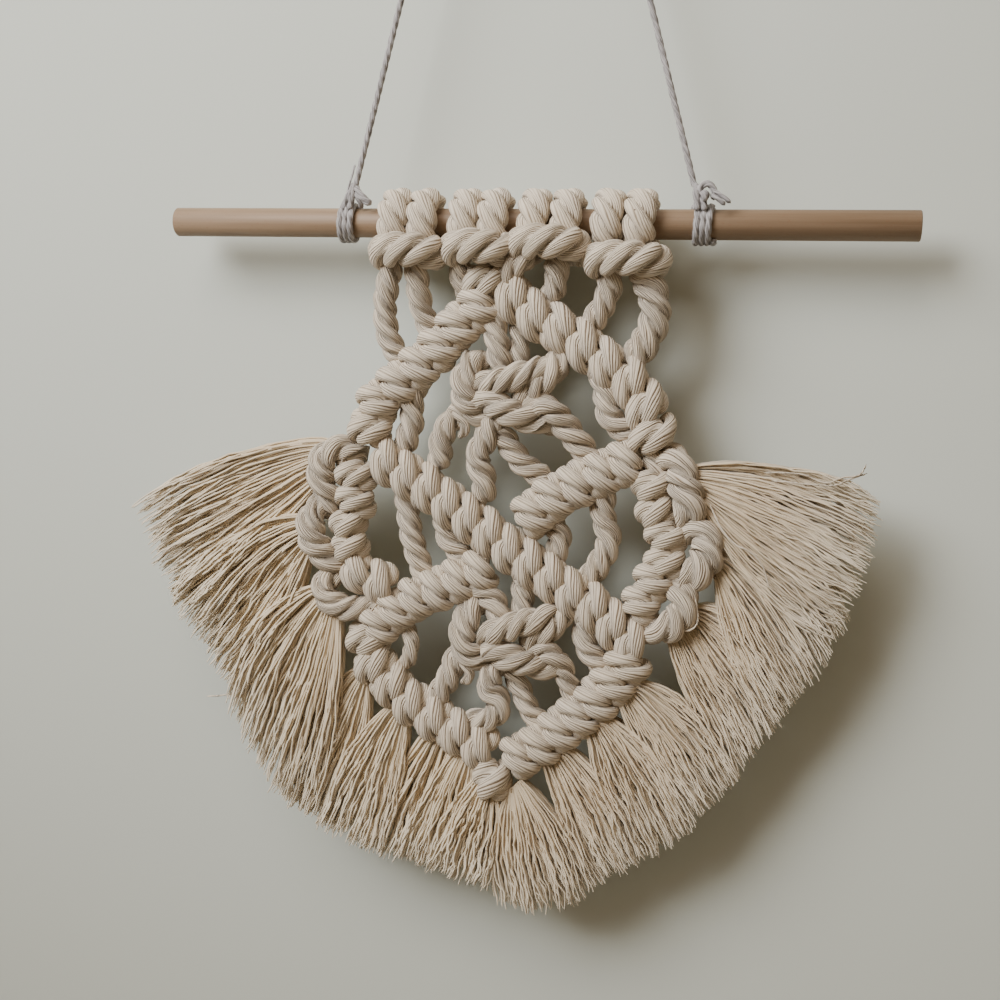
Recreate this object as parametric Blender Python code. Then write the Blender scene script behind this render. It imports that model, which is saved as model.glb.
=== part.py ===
"""Macrame wall hanging: knotted cotton cord on a wooden dowel, hung from a nail by a thin twine.

The origin is the point where the twine bears on its nail. +Z is up, +X is to the viewer's right, and -Y faces
the viewer. The tables give places in millimetres: x and z from the middle of the dowel's axis, and the depth
in front of that axis, towards the viewer.
"""
import math

import bmesh
import bpy
from mathutils import Vector
from mathutils.bvhtree import BVHTree

MM = 0.001

# Driving sizes, in metres
DOWEL_LENGTH = 0.205
DOWEL_DIAMETER = 0.008
CORD_DIAMETER = 0.006
CORD_LAY = 0.024            # one full turn of the three plies, drawn longer than the cord's own 15 mm
TWINE_DIAMETER = 0.0018
HANG_HEIGHT = 0.184         # from the dowel's axis up to the nail
DOWEL_OFFSET = 0.007        # the dowel's middle lies this far to the right of the nail
NAIL_RADIUS = 0.0015
PIECE_GAP = 0.0003          # between one piece and the next
SHEET_DEPTH = 5.0           # mm, the knotted sheet's middle in front of the dowel's axis

# Knots
BAR_HALF_WIDTH = 6.7        # mm, across a bar of double half hitches, in the sheet
BAR_HALF_DEPTH = 5.6        # mm, through the sheet
VALLEY = 0.74               # size of a bar between two wraps, over its size on a wrap
BAR_END = 0.6               # and at its two ends
BAR_SIDES = 6
STRAND_SIDES = 6            # a corner on each of the three plies, and one in each groove
STRAND_LOBE = 1.06          # radius over a ply, and between two plies, over the cord's radius
STRAND_GROOVE = 0.82

# Lark's heads
LOOP_START = -30            # degrees round the dowel, from below in front over the top to below behind
LOOP_END = 210
LOOP_STEP = 30
LOOP_SPREAD = 1.3           # mm, between the two loops behind the dowel and in front, on each side
FRONT_BAR_HALF_WIDTH = 4.4  # mm
FRONT_BAR_HALF_DEPTH = 3.4  # mm

# Fringe
LOCK_FULLNESS = 0.43        # a lock's radius over the way from one lock to the next
LOCK_SPANS = 3
LOCKS_PER_LAYER = 6
LAYER_GAP = 4.0             # mm, between the two layers of locks in a bunch
BACKING_HALF_WIDTH = 1.7    # mm
BACKING_HALF_DEPTH = 4.3    # mm
BACKING_SHARES = (-0.08, 0.5, 1.08)     # places of its sections along the root
BACKING_END = 0.8           # size of its ends, over its middle
SHORTENING = 0.05           # the shortest lock falls short of the row of tips by this share of its length
SEAT_STEPS = 12

# Lark's heads: middle of the pair of loops, half their spacing, and the front bar's middle and half length
LARKS_HEADS = (
    # (x, half_spacing, bar_x, bar_z, bar_half_length)
    (-32.3, 3.9, -30.8, -8.8, 10.4),
    (-12.6, 3.5, -11.5, -7.7, 9.2),
    (6.9, 4.3, 6.9, -6.3, 9.8),
    (26.6, 4.2, 28.2, -10.4, 11.0),
)

# Bars of double half hitches: four points along the middle (x, z) and the number of wraps
BARS = (
    # (first, second, third, last, wraps)
    ((-11.0, -15.5), (-20.0, -29.0), (-33.0, -43.0), (-42.5, -60.0), 8),
    ((-2.0, -19.5), (11.0, -29.0), (25.0, -38.5), (35.5, -57.0), 7),
    ((-38.0, -65.0), (-15.0, -80.5), (11.0, -96.0), (35.0, -113.0), 13),
    ((31.5, -63.0), (23.0, -67.0), (12.0, -73.5), (2.5, -81.5), 5),
    ((-6.0, -94.0), (-16.0, -98.5), (-29.0, -105.5), (-40.0, -117.0), 6),
    ((-41.0, -121.5), (-32.5, -131.0), (-20.0, -138.5), (-6.0, -145.5), 6),
    ((34.5, -116.0), (26.0, -126.5), (14.0, -138.5), (1.0, -147.5), 7),
    ((-46.0, -66.0), (-46.0, -70.0), (-45.8, -74.0), (-46.0, -79.0), 3),
    ((-47.5, -81.0), (-47.0, -85.0), (-46.5, -89.0), (-46.5, -92.5), 3),
    ((-47.5, -96.5), (-44.5, -98.0), (-41.0, -99.5), (-37.5, -101.5), 3),
    ((37.5, -67.0), (38.0, -71.0), (39.0, -75.0), (39.5, -79.0), 2),
    ((41.5, -81.5), (41.5, -85.0), (41.0, -88.0), (41.0, -91.5), 3),
    ((38.5, -93.5), (38.0, -97.0), (37.5, -101.0), (37.0, -105.5), 2),
    ((-3.3, -141.5), (-3.3, -146.5), (-3.3, -151.5), (-3.3, -157.5), 2),
)

# Strands between the knots, and the strands that make the square knots and the wings' outer loops
STRANDS = (
    # ((x, z, depth), ...)
    # tails of the lark's heads, left to right
    ((-36.5, -7.0, 8.0), (-37.7, -23.0, 6.5), (-34.0, -39.0, 5.0)),
    ((-29.0, -7.0, 8.0), (-28.4, -21.0, 6.5), (-25.0, -32.0, 5.0)),
    ((-15.0, -7.0, 8.0), (-12.5, -15.0, 6.0)),
    ((-9.5, -7.0, 8.0), (-6.5, -17.0, 5.0), (-6.0, -25.0, 4.0)),
    ((3.0, -6.0, 8.0), (1.5, -12.5, 7.0), (-3.0, -17.5, 5.5)),
    ((9.0, -6.0, 8.0), (8.3, -15.0, 6.0), (6.0, -26.0, 4.0)),
    ((22.4, -8.0, 8.0), (21.9, -18.0, 6.0), (17.5, -30.0, 4.0)),
    ((31.0, -9.0, 8.0), (36.6, -20.0, 7.0), (35.3, -29.0, 6.0), (29.5, -38.0, 4.0)),
    # down to the upper square knot
    ((-7.0, -24.0, 4.0), (-6.8, -33.0, 6.0), (-6.0, -43.0, 5.0)),
    ((2.5, -26.0, 3.0), (0.6, -33.0, 3.5), (-1.0, -43.0, 4.0)),
    # upper square knot
    ((-14.0, -34.0, 4.0), (-15.4, -43.0, 8.0), (-12.5, -50.5, 8.0), (-3.0, -53.0, 5.0)),
    ((-12.0, -46.0, 7.0), (-6.5, -42.8, 10.0), (1.5, -41.5, 9.5), (8.0, -43.5, 6.0), (14.0, -36.0, 4.0)),
    ((-12.0, -47.0, 6.0), (-5.0, -49.5, 9.5), (2.0, -50.0, 9.0), (8.5, -49.5, 6.0), (22.0, -64.5, 4.0)),
    # its legs
    ((-10.0, -51.0, 5.0), (-18.6, -55.0, 4.0), (-20.8, -63.6, 4.0), (-24.0, -71.0, 4.0)),
    ((-7.0, -52.0, 6.0), (-9.0, -59.5, 6.0), (-9.0, -68.5, 5.0), (-13.5, -77.5, 4.0)),
    ((-5.0, -53.0, 4.0), (-2.0, -61.0, 3.5), (3.0, -68.5, 4.0), (9.5, -74.0, 4.0)),
    # inside the left and right corners of the upper diamond
    ((-32.0, -44.0, 3.0), (-31.8, -52.0, 3.5), (-31.0, -60.0, 3.0), (-34.0, -66.0, 4.0)),
    ((22.5, -39.0, 3.0), (22.2, -46.5, 3.0), (29.5, -57.0, 3.5)),
    # beside the crossing
    ((-29.5, -71.0, 3.0), (-30.2, -77.0, 3.0), (-27.8, -87.0, 3.0), (-23.0, -100.0, 3.0)),
    ((-17.5, -80.0, 2.5), (-16.5, -87.5, 2.0), (-11.5, -94.0, 3.0)),
    ((23.0, -69.0, 3.0), (24.3, -80.0, 3.0), (23.5, -92.0, 3.0), (18.5, -99.5, 3.0)),
    ((9.0, -77.0, 2.5), (11.8, -84.0, 2.0), (8.5, -92.5, 2.5)),
    # down to the lower square knot
    ((-10.0, -96.0, 4.0), (-5.5, -103.0, 5.0), (-3.0, -111.0, 5.0)),
    ((4.0, -95.0, 3.0), (3.1, -102.5, 4.0), (1.5, -111.0, 4.0)),
    # lower square knot
    ((-13.5, -100.0, 3.0), (-11.0, -109.5, 8.0), (-8.5, -117.5, 8.0), (-1.0, -120.5, 5.0)),
    ((-8.0, -113.0, 7.0), (-2.0, -110.8, 10.0), (5.0, -108.8, 9.5), (11.0, -110.5, 5.0), (17.0, -104.0, 3.0)),
    ((-8.0, -115.0, 6.0), (-1.5, -117.8, 9.5), (5.0, -117.0, 9.0), (13.0, -116.5, 5.0), (20.5, -130.0, 4.0)),
    # its legs
    ((-7.0, -118.0, 5.0), (-14.5, -121.0, 4.0), (-18.0, -128.0, 4.0), (-24.0, -135.0, 4.0)),
    ((-3.0, -119.0, 6.0), (-3.6, -127.0, 6.0), (-6.5, -135.0, 5.0), (-13.0, -139.5, 4.0)),
    ((0.5, -120.0, 4.0), (4.3, -127.5, 3.5), (7.2, -134.5, 4.0), (13.0, -138.0, 4.0)),
    # inside the left and right corners of the lower diamond
    ((-30.5, -108.0, 3.0), (-28.4, -117.5, 3.0), (-32.0, -128.0, 3.0)),
    ((27.0, -108.0, 3.0), (24.6, -115.5, 3.0), (28.0, -123.0, 3.5)),
    # left wing: the strand from the corner and the three outer loops
    ((-42.0, -61.0, 4.0), (-46.5, -65.0, 5.0), (-51.5, -62.6, 6.0),
     (-56.6, -67.0, 6.0), (-55.5, -74.0, 5.0), (-49.0, -79.5, 5.0)),
    ((-49.0, -78.0, 4.0), (-55.5, -79.5, 5.5), (-58.3, -84.5, 6.0), (-55.0, -91.5, 6.0), (-47.0, -95.0, 5.0)),
    ((-48.0, -94.0, 4.0), (-53.3, -99.0, 5.5), (-51.5, -104.0, 6.0), (-44.0, -108.0, 6.0), (-38.5, -104.0, 5.0)),
    # right wing
    ((33.0, -61.0, 4.0), (38.0, -64.5, 5.0), (43.5, -62.0, 6.5),
     (49.5, -70.0, 6.5), (48.0, -77.5, 6.0), (41.0, -80.5, 5.0)),
    ((42.0, -79.5, 4.0), (50.0, -80.5, 6.0), (54.2, -87.5, 6.5), (49.5, -94.0, 6.0), (41.0, -93.5, 5.0)),
    ((41.0, -93.0, 4.0), (47.8, -98.5, 6.0), (47.0, -105.0, 6.5), (40.5, -109.0, 6.0), (35.0, -104.0, 5.0)),
    ((39.0, -94.0, 4.0), (32.0, -97.5, 4.0), (31.5, -105.0, 4.0)),
)

# Fringe bunches: ends of the root and of the row of tips, rise of the bow, and the nearer layer's depth
FRINGE = (
    # (name, root_start, root_end, tip_start, tip_end, bow, depth)
    ("left_wing_1", (-60.5, -65.5), (-61.0, -76.5), (-112.0, -81.0), (-105.0, -101.5), 7.0, 8.0),
    ("left_wing_2", (-62.5, -82.0), (-60.5, -93.5), (-103.5, -104.5), (-90.0, -131.5), 8.0, 6.0),
    ("left_wing_3", (-57.0, -103.5), (-49.0, -112.0), (-86.0, -137.5), (-65.5, -164.5), 5.0, 8.0),
    ("left_edge_1", (-46.5, -127.5), (-39.5, -132.5), (-62.5, -166.5), (-50.5, -170.5), 3.0, 6.0),
    ("left_edge_2", (-36.0, -135.5), (-28.5, -140.0), (-48.0, -171.5), (-35.0, -175.0), 3.0, 8.0),
    ("left_edge_3", (-25.5, -141.0), (-19.5, -144.5), (-33.0, -175.5), (-23.5, -178.5), 2.5, 6.0),
    ("left_edge_4", (-15.8, -146.5), (-11.0, -149.5), (-21.5, -179.5), (-12.0, -182.5), 2.0, 8.0),
    ("bottom_1", (-7.0, -158.5), (-2.8, -160.0), (-9.0, -183.5), (1.0, -188.0), 1.5, 6.0),
    ("bottom_2", (0.8, -160.0), (4.6, -156.5), (4.0, -189.0), (17.0, -186.5), 2.0, 8.0),
    ("right_edge_1", (12.0, -149.5), (17.5, -144.0), (19.5, -184.5), (36.0, -171.5), 5.0, 6.0),
    ("right_edge_2", (23.0, -139.0), (28.5, -132.5), (38.0, -170.0), (55.0, -156.0), 6.0, 8.0),
    ("right_edge_3", (33.5, -128.0), (38.5, -120.0), (57.0, -154.0), (70.0, -137.0), 6.0, 6.0),
    ("right_wing_3", (43.5, -111.5), (51.5, -104.5), (71.5, -134.0), (83.5, -117.0), 6.0, 8.0),
    ("right_wing_2", (57.0, -95.5), (57.5, -83.5), (85.0, -114.5), (92.0, -95.0), 7.0, 6.0),
    ("right_wing_1", (52.5, -76.0), (51.5, -64.5), (93.5, -92.0), (94.0, -68.0), 7.0, 8.0),
)

# Twine hitches on the dowel: middle of the wraps, where the leg meets the knot, and the free ends
HITCHES = (
    # (x, knot_x, knot_z, free_ends)
    (-49.5, -47.8, 8.2, (((-46.5, 6.0, 4.5), (-43.5, 3.4, 6.5)),)),
    (47.5, 47.2, 8.0, (((50.0, 6.4, 5.0), (54.0, 4.4, 6.0)), ((49.5, 5.4, 6.5), (52.8, 3.0, 7.0)))),
)
HITCH_WRAPS = 3
HITCH_PITCH = 1.7           # mm, less than the twine's own width, so that the wraps are one solid
HITCH_SEGMENTS = 10
HITCH_KNOT_RADII = (1.5, 1.9, 1.1)      # mm, from the wraps up to the leg
TWINE_SIDES = 6
FREE_END_SHARE = 0.8        # of the twine's radius


def place(x, z, depth=SHEET_DEPTH):
    """A point of the tables, in metres in the part's frame."""
    return Vector((DOWEL_OFFSET + x * MM, -depth * MM, z * MM - HANG_HEIGHT))


def principled(name, colour, roughness):
    """A plain material in the piece's own colour."""
    material = bpy.data.materials.new(name)
    material.use_nodes = True
    shader = material.node_tree.nodes["Principled BSDF"]
    shader.inputs["Base Color"].default_value = (*colour, 1.0)
    shader.inputs["Roughness"].default_value = roughness
    shader.inputs["Metallic"].default_value = 0.0
    return material


def smooth_curve(points, spacing):
    """Points a spacing apart on one smooth curve through the given points."""
    ends = [2 * points[0] - points[1]] + list(points) + [2 * points[-1] - points[-2]]
    path = [points[0]]
    for before, start, end, after in zip(ends, ends[1:], ends[2:], ends[3:]):
        spans = max(1, round((end - start).length / spacing))
        for step in range(1, spans + 1):
            t = step / spans
            bend = 2 * before - 5 * start + 4 * end - after
            twist = 3 * (start - end) + after - before
            path.append(start + 0.5 * t * ((end - before) + t * (bend + t * twist)))
    return path


def section_frames(path):
    """Two directions across the path at each point, carried along it without turning."""
    frames = []
    across = None
    for index, point in enumerate(path):
        ahead = path[min(index + 1, len(path) - 1)]
        behind = path[max(index - 1, 0)]
        along = (ahead - behind).normalized()
        if across is None:
            across = along.cross(Vector((0, 1, 0)))
            if across.length < 0.2:
                across = Vector((1, 0, 0))
        across = (across - along * across.dot(along)).normalized()
        frames.append((across, across.cross(along)))
    return frames


def closed_tube(name, path, section, pointed=False):
    """A closed solid along the path; section(index) gives the outline's points at that index as pairs.

    Its sides are split along the diagonal on which a ply of the cord runs, and it may end in a point.
    """
    shape = bmesh.new()
    rings = []
    for index, (point, (across, through)) in enumerate(zip(path, section_frames(path))):
        if pointed and index == len(path) - 1:
            break
        outline = section(index)
        rings.append([shape.verts.new(point + across * u + through * v) for u, v in outline])
    for ring, following in zip(rings, rings[1:]):
        count = len(ring)
        for side in range(count):
            after = (side + 1) % count
            shape.faces.new((ring[side], ring[after], following[after]))
            shape.faces.new((ring[side], following[after], following[side]))
    shape.faces.new(list(reversed(rings[0])))
    if pointed:
        tip = shape.verts.new(path[-1])
        for corner, after in zip(rings[-1], rings[-1][1:] + rings[-1][:1]):
            shape.faces.new((corner, after, tip))
    else:
        shape.faces.new(rings[-1])
    bmesh.ops.recalc_face_normals(shape, faces=shape.faces)
    return new_object(name, shape)


def new_object(name, shape):
    """An object from a bmesh, in the scene."""
    mesh = bpy.data.meshes.new(name)
    shape.to_mesh(mesh)
    shape.free()
    made = bpy.data.objects.new(name, mesh)
    bpy.context.scene.collection.objects.link(made)
    return made


def polygon(sides, half_width, half_depth, turn=0.0):
    """The corners of an upright oval section."""
    corners = [turn + 2 * math.pi * side / sides for side in range(sides)]
    return [(half_width * math.cos(corner), half_depth * math.sin(corner)) for corner in corners]


def plied_section(index):
    """The outline of a three-ply cord; from one section to the next, plies and grooves change places."""
    corners = polygon(STRAND_SIDES, CORD_DIAMETER / 2, CORD_DIAMETER / 2)
    sizes = [STRAND_GROOVE if (side + index) % 2 else STRAND_LOBE for side in range(STRAND_SIDES)]
    return [(u * size, v * size) for (u, v), size in zip(corners, sizes)]


def plied_strand(name, points):
    """A strand of three twisted plies."""
    path = smooth_curve(points, CORD_LAY / STRAND_SIDES)
    return closed_tube(name, path, plied_section)


def ridged_bar(name, points, wraps, half_width, half_depth):
    """A bar of hitches: an oval rod with a ridge for each wrap and a groove between two wraps."""
    path = smooth_curve(points, 1 * MM)
    sections = 2 * wraps + 1
    chosen = [path[round(index * (len(path) - 1) / (sections - 1))] for index in range(sections)]

    def section(index):
        size = 1.0 if index % 2 else VALLEY
        if index in (0, sections - 1):
            size = BAR_END
        return polygon(BAR_SIDES, half_width * size * MM, half_depth * size * MM, math.pi / BAR_SIDES)

    return closed_tube(name, chosen, section)


def without_inner_shells(mesh):
    """Fills the small sealed hollows between crossing strands: takes away shells that enclose no solid."""
    shape = bmesh.new()
    shape.from_mesh(mesh)
    unseen = set(shape.verts)
    shells = []
    while unseen:
        shell = set()
        edge_of_shell = [unseen.pop()]
        while edge_of_shell:
            vertex = edge_of_shell.pop()
            shell.add(vertex)
            near = {edge.other_vert(vertex) for edge in vertex.link_edges} & unseen
            unseen -= near
            edge_of_shell += near
        shells.append(shell)
    for shell in shells:
        faces = {face for vertex in shell for face in vertex.link_faces}
        volume = sum(face.calc_area() * face.normal.dot(face.calc_center_median()) for face in faces)
        if volume < 0:
            bmesh.ops.delete(shape, geom=list(shell), context="VERTS")
    shape.to_mesh(mesh)
    shape.free()


def joined(name, pieces, material, solver="EXACT"):
    """One solid made of overlapping pieces."""
    first, others = pieces[0], pieces[1:]
    parts = bpy.data.collections.new(name + "_parts")
    for piece in others:
        parts.objects.link(piece)
    union = first.modifiers.new("union", "BOOLEAN")
    union.operation = "UNION"
    union.solver = solver
    union.operand_type = "COLLECTION"
    union.collection = parts
    graph = bpy.context.evaluated_depsgraph_get()
    mesh = bpy.data.meshes.new_from_object(first.evaluated_get(graph))
    mesh.name = name
    without_inner_shells(mesh)
    for piece in pieces:
        bpy.data.objects.remove(piece)
    bpy.data.collections.remove(parts)
    mesh.materials.clear()
    mesh.materials.append(material)
    made = bpy.data.objects.new(name, mesh)
    bpy.context.scene.collection.objects.link(made)
    return made


def around_dowel(x, radius, angle):
    """A point on a circle round the dowel; 0 degrees faces the viewer and 90 degrees is the top."""
    turned = math.radians(angle)
    return place(x, radius * math.sin(turned), radius * math.cos(turned))


def dowel(material):
    """A plain round stick with sawn ends."""
    shape = bmesh.new()
    bmesh.ops.create_cone(shape, cap_ends=True, segments=24, radius1=DOWEL_DIAMETER / 2,
                          radius2=DOWEL_DIAMETER / 2, depth=DOWEL_LENGTH)
    made = new_object("dowel", shape)
    made.rotation_euler = (0, math.pi / 2, 0)
    made.location = place(0, 0, 0)
    made.data.materials.append(material)
    made.data.shade_smooth()
    made.data.set_sharp_from_angle(angle=math.radians(40))
    return made


def larks_head(index, x, half_spacing, bar_x, bar_z, bar_half_length):
    """Two loops over the dowel, and the bar of the same cord that crosses them in front."""
    clear = (DOWEL_DIAMETER / 2 + PIECE_GAP) / MM / math.cos(math.radians(LOOP_STEP / 2))
    loop_radius = clear + CORD_DIAMETER / 2 / MM * STRAND_LOBE
    pieces = []
    for side in (-1, 1):
        front_x = x + side * half_spacing
        path = []
        for angle in range(LOOP_START, LOOP_END + 1, LOOP_STEP):
            behind = max(0.0, (angle - 90) / (LOOP_END - 90))
            path.append(around_dowel(front_x + side * LOOP_SPREAD * behind, loop_radius, angle))
        pieces.append(closed_tube(f"loop_{index}_{side}", path, plied_section))
        end_x = bar_x + side * (bar_half_length - CORD_DIAMETER / 2 / MM)
        back = place(front_x + side * LOOP_SPREAD, -4.4, -6.0)
        under = place((front_x + end_x) / 2 + side, -8.6, -1.0)
        beside_bar = place(end_x + side * 0.6, bar_z - 0.8, 6.0)
        into_bar = place(end_x - side, bar_z, 11.0)
        pieces.append(plied_strand(f"return_{index}_{side}", [back, under, beside_bar, into_bar]))
    bar_points = []
    for share in (-1.0, -0.5, 0.5, 1.0):
        bowed = 1 - abs(share)
        bar_points.append(place(bar_x + share * bar_half_length, bar_z - 0.4 + 0.8 * bowed, 11.0 + 2 * bowed))
    pieces.append(ridged_bar(f"front_bar_{index}", bar_points, 3, FRONT_BAR_HALF_WIDTH, FRONT_BAR_HALF_DEPTH))
    return pieces


def knotwork(material):
    """All the knotted cord: lark's heads, bars of hitches, square knots and the strands between them."""
    pieces = []
    for index, head in enumerate(LARKS_HEADS):
        pieces += larks_head(index, *head)
    for index, (first, second, third, last, wraps) in enumerate(BARS):
        points = [place(*point) for point in (first, second, third, last)]
        pieces.append(ridged_bar(f"bar_{index}", points, wraps, BAR_HALF_WIDTH, BAR_HALF_DEPTH))
    for index, row in enumerate(STRANDS):
        pieces.append(plied_strand(f"strand_{index}", [place(*point) for point in row]))
    return joined("knotwork", pieces, material, "MANIFOLD")


def fringe_bunch(name, root_start, root_end, tip_start, tip_end, bow, depth, material):
    """A narrow backing with two layers of three-sided locks that fan out from it."""
    first, last = place(*root_start), place(*root_end)
    middle_depth = Vector((0, -(depth - LAYER_GAP / 2) * MM - first.y, 0))
    length = last - first
    backing_path = [first + middle_depth + length * share for share in BACKING_SHARES]

    def backing_section(index):
        size = 1.0 if index == 1 else BACKING_END
        return polygon(6, BACKING_HALF_WIDTH * size * MM, BACKING_HALF_DEPTH * size * MM, math.pi / 2)

    pieces = [closed_tube("backing", backing_path, backing_section)]
    rise = Vector((0, 0, bow * MM))
    root_pitch = length.length / LOCKS_PER_LAYER
    tip_pitch = (place(*tip_end) - place(*tip_start)).length / LOCKS_PER_LAYER

    def lock_section(index):
        share = index / LOCK_SPANS
        radius = LOCK_FULLNESS * (root_pitch * (1 - share) + tip_pitch * share)
        return polygon(3, radius, radius, math.pi / 2)

    for layer in range(2):
        layer_depth = depth - LAYER_GAP * layer
        for number in range(LOCKS_PER_LAYER):
            share = (number + 0.25 + layer / 2) / LOCKS_PER_LAYER
            root = place(*root_start, layer_depth).lerp(place(*root_end, layer_depth), share)
            tip = place(*tip_start, layer_depth).lerp(place(*tip_end, layer_depth), share)
            tip = tip.lerp(root, SHORTENING * math.sin(2.4 * number + 1.7 * layer) ** 2)
            path = []
            for step in range(LOCK_SPANS + 1):
                t = step / LOCK_SPANS
                path.append(root.lerp(tip, t) + rise * 2 * t * (1 - t))
            pieces.append(closed_tube("lock", path, lock_section, pointed=True))
    return joined("fringe_" + name, pieces, material)


def surface_distance(piece, other_tree, other_points):
    """The shortest way between a piece's surface and another one, measured from the points of both."""
    points = [piece.matrix_world @ vertex.co for vertex in piece.data.vertices]
    tree = BVHTree.FromPolygons(points, [list(face.vertices) for face in piece.data.polygons])
    ways = [other_tree.find_nearest(point)[3] for point in points]
    ways += [tree.find_nearest(point)[3] for point in other_points]
    touching = bool(tree.overlap(other_tree))
    return 0.0 if touching else min(ways)


def seat(piece, neighbour, outward):
    """Slides a piece along a direction until it lies one gap from its neighbour."""
    points = [vertex.co.copy() for vertex in neighbour.data.vertices]
    tree = BVHTree.FromPolygons(points, [list(face.vertices) for face in neighbour.data.polygons])
    wanted = PIECE_GAP * 1.2
    for _ in range(SEAT_STEPS):
        way = surface_distance(piece, tree, points)
        slide = wanted * 2 if way == 0.0 else (wanted - way) * 0.9
        if way > 0.0 and abs(wanted - way) < 0.00005:
            break
        for vertex in piece.data.vertices:
            vertex.co += outward * slide
    return piece


def outward_direction(root_start, root_end, tip_start, tip_end):
    """The direction from a bunch's root to the middle of its tips."""
    root = place(*root_start).lerp(place(*root_end), 0.5)
    tip = place(*tip_start).lerp(place(*tip_end), 0.5)
    return (tip - root).normalized()


def hanging_twine(material):
    """One thin twine over the nail, hitched round the dowel at both ends."""
    radius = TWINE_DIAMETER / 2
    nail = Vector((0, 0, -NAIL_RADIUS))
    reach = NAIL_RADIUS + radius * 1.02

    def knot_section(index):
        half_width = HITCH_KNOT_RADII[index] * MM
        return polygon(TWINE_SIDES, half_width, half_width)

    def free_end_section(index):
        return polygon(TWINE_SIDES - 1, radius * FREE_END_SHARE, radius * FREE_END_SHARE)

    route = []
    for index, (_, knot_x, knot_z, _) in enumerate(HITCHES):
        foot = place(knot_x, knot_z, 3.5)
        side = -1 if index == 0 else 1
        bend = [nail + reach * Vector((side * math.cos(turn), 0, math.sin(turn))) for turn in (0.25, 0.8)]
        spread = (bend[0] - foot) / 8
        leg = [foot + spread * step for step in (0, 4)] + bend
        route = leg if index == 0 else route + [nail + Vector((0, 0, reach))] + list(reversed(leg))
    pieces = [closed_tube("legs", route, lambda index: polygon(TWINE_SIDES, radius, radius))]
    clear = (DOWEL_DIAMETER / 2 + PIECE_GAP) / math.cos(math.pi / HITCH_SEGMENTS)
    for x, knot_x, knot_z, free_ends in HITCHES:
        for wrap in range(HITCH_WRAPS):
            ring_x = x + (wrap - (HITCH_WRAPS - 1) / 2) * HITCH_PITCH
            pieces.append(twine_ring(ring_x, clear + radius))
        knot = [place(knot_x - 0.6, 5.2, 3.6), place(knot_x, 7.0, 3.8), place(knot_x, knot_z + 1.4, 3.5)]
        pieces.append(closed_tube("knot", knot, knot_section))
        for free_end in free_ends:
            points = [place(knot_x, 6.6, 4.0)] + [place(*point) for point in free_end]
            pieces.append(closed_tube("free_end", points, free_end_section))
    return joined("hanging_twine", pieces, material)


def twine_ring(x, ring_radius):
    """One turn of twine round the dowel."""
    shape = bmesh.new()
    radius = TWINE_DIAMETER / 2
    sides = TWINE_SIDES - 1
    rings = []
    for segment in range(HITCH_SEGMENTS):
        angle = 360 * segment / HITCH_SEGMENTS
        centre = around_dowel(x, ring_radius / MM, angle)
        outward = (centre - place(x, 0, 0)).normalized()
        ring = []
        for u, v in polygon(sides, radius, radius, math.pi):
            ring.append(shape.verts.new(centre + outward * u + Vector((v, 0, 0))))
        rings.append(ring)
    for index, ring in enumerate(rings):
        following = rings[(index + 1) % HITCH_SEGMENTS]
        for side in range(sides):
            after = (side + 1) % sides
            shape.faces.new((ring[side], ring[after], following[after], following[side]))
    bmesh.ops.recalc_face_normals(shape, faces=shape.faces)
    return new_object("ring", shape)


def main():
    """Clears the scene and makes every piece."""
    for leftover in list(bpy.data.objects):
        bpy.data.objects.remove(leftover)
    beech = principled("beech_dowel", (0.52, 0.36, 0.24), 0.6)
    grey_twine = principled("grey_twine", (0.36, 0.36, 0.38), 0.9)
    cotton = principled("cotton_cord", (0.62, 0.55, 0.46), 0.9)
    brushed_cotton = principled("brushed_cotton", (0.58, 0.50, 0.38), 0.95)
    dowel(beech)
    hanging_twine(grey_twine)
    knots = knotwork(cotton)
    for name, root_start, root_end, tip_start, tip_end, bow, depth in FRINGE:
        bunch = fringe_bunch(name, root_start, root_end, tip_start, tip_end, bow, depth, brushed_cotton)
        seat(bunch, knots, outward_direction(root_start, root_end, tip_start, tip_end))


main()
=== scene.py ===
"""Macrame wall hanging on a wooden dowel.

The origin is where the twine bears on its nail; +Z is up and -Y faces the viewer. Tables give places in
millimetres: x and z from the middle of the dowel's axis, and the depth in front of that axis.
"""

import math
from collections import namedtuple
from functools import partial

import bpy
from mathutils import Matrix, Vector


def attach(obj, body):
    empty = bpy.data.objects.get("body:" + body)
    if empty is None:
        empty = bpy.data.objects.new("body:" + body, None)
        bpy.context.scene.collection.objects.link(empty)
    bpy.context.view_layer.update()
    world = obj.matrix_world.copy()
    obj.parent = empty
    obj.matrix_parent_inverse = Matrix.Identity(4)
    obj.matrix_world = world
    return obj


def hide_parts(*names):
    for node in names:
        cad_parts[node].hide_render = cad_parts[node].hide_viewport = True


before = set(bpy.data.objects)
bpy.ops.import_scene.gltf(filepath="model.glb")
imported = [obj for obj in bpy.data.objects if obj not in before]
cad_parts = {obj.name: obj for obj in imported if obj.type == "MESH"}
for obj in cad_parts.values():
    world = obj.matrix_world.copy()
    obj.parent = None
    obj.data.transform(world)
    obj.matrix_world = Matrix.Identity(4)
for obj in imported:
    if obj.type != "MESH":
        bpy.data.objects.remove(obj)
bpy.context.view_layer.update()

# ---------------------------------------------------------------------------------------------------------
# Camera: a little to the right of the hanging and above its middle, looking slightly down and turned a
# touch anticlockwise.
# ---------------------------------------------------------------------------------------------------------
CAMERA_PLACE = (0.075, -0.353, -0.235)
CAMERA_YAW = math.radians(11.7)
CAMERA_PITCH = math.radians(-3.9)
CAMERA_ROLL = math.radians(2.0)
LENS_LENGTH = 47.0
SENSOR_WIDTH = 36.0
NEAR_CLIP = 0.01

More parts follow.
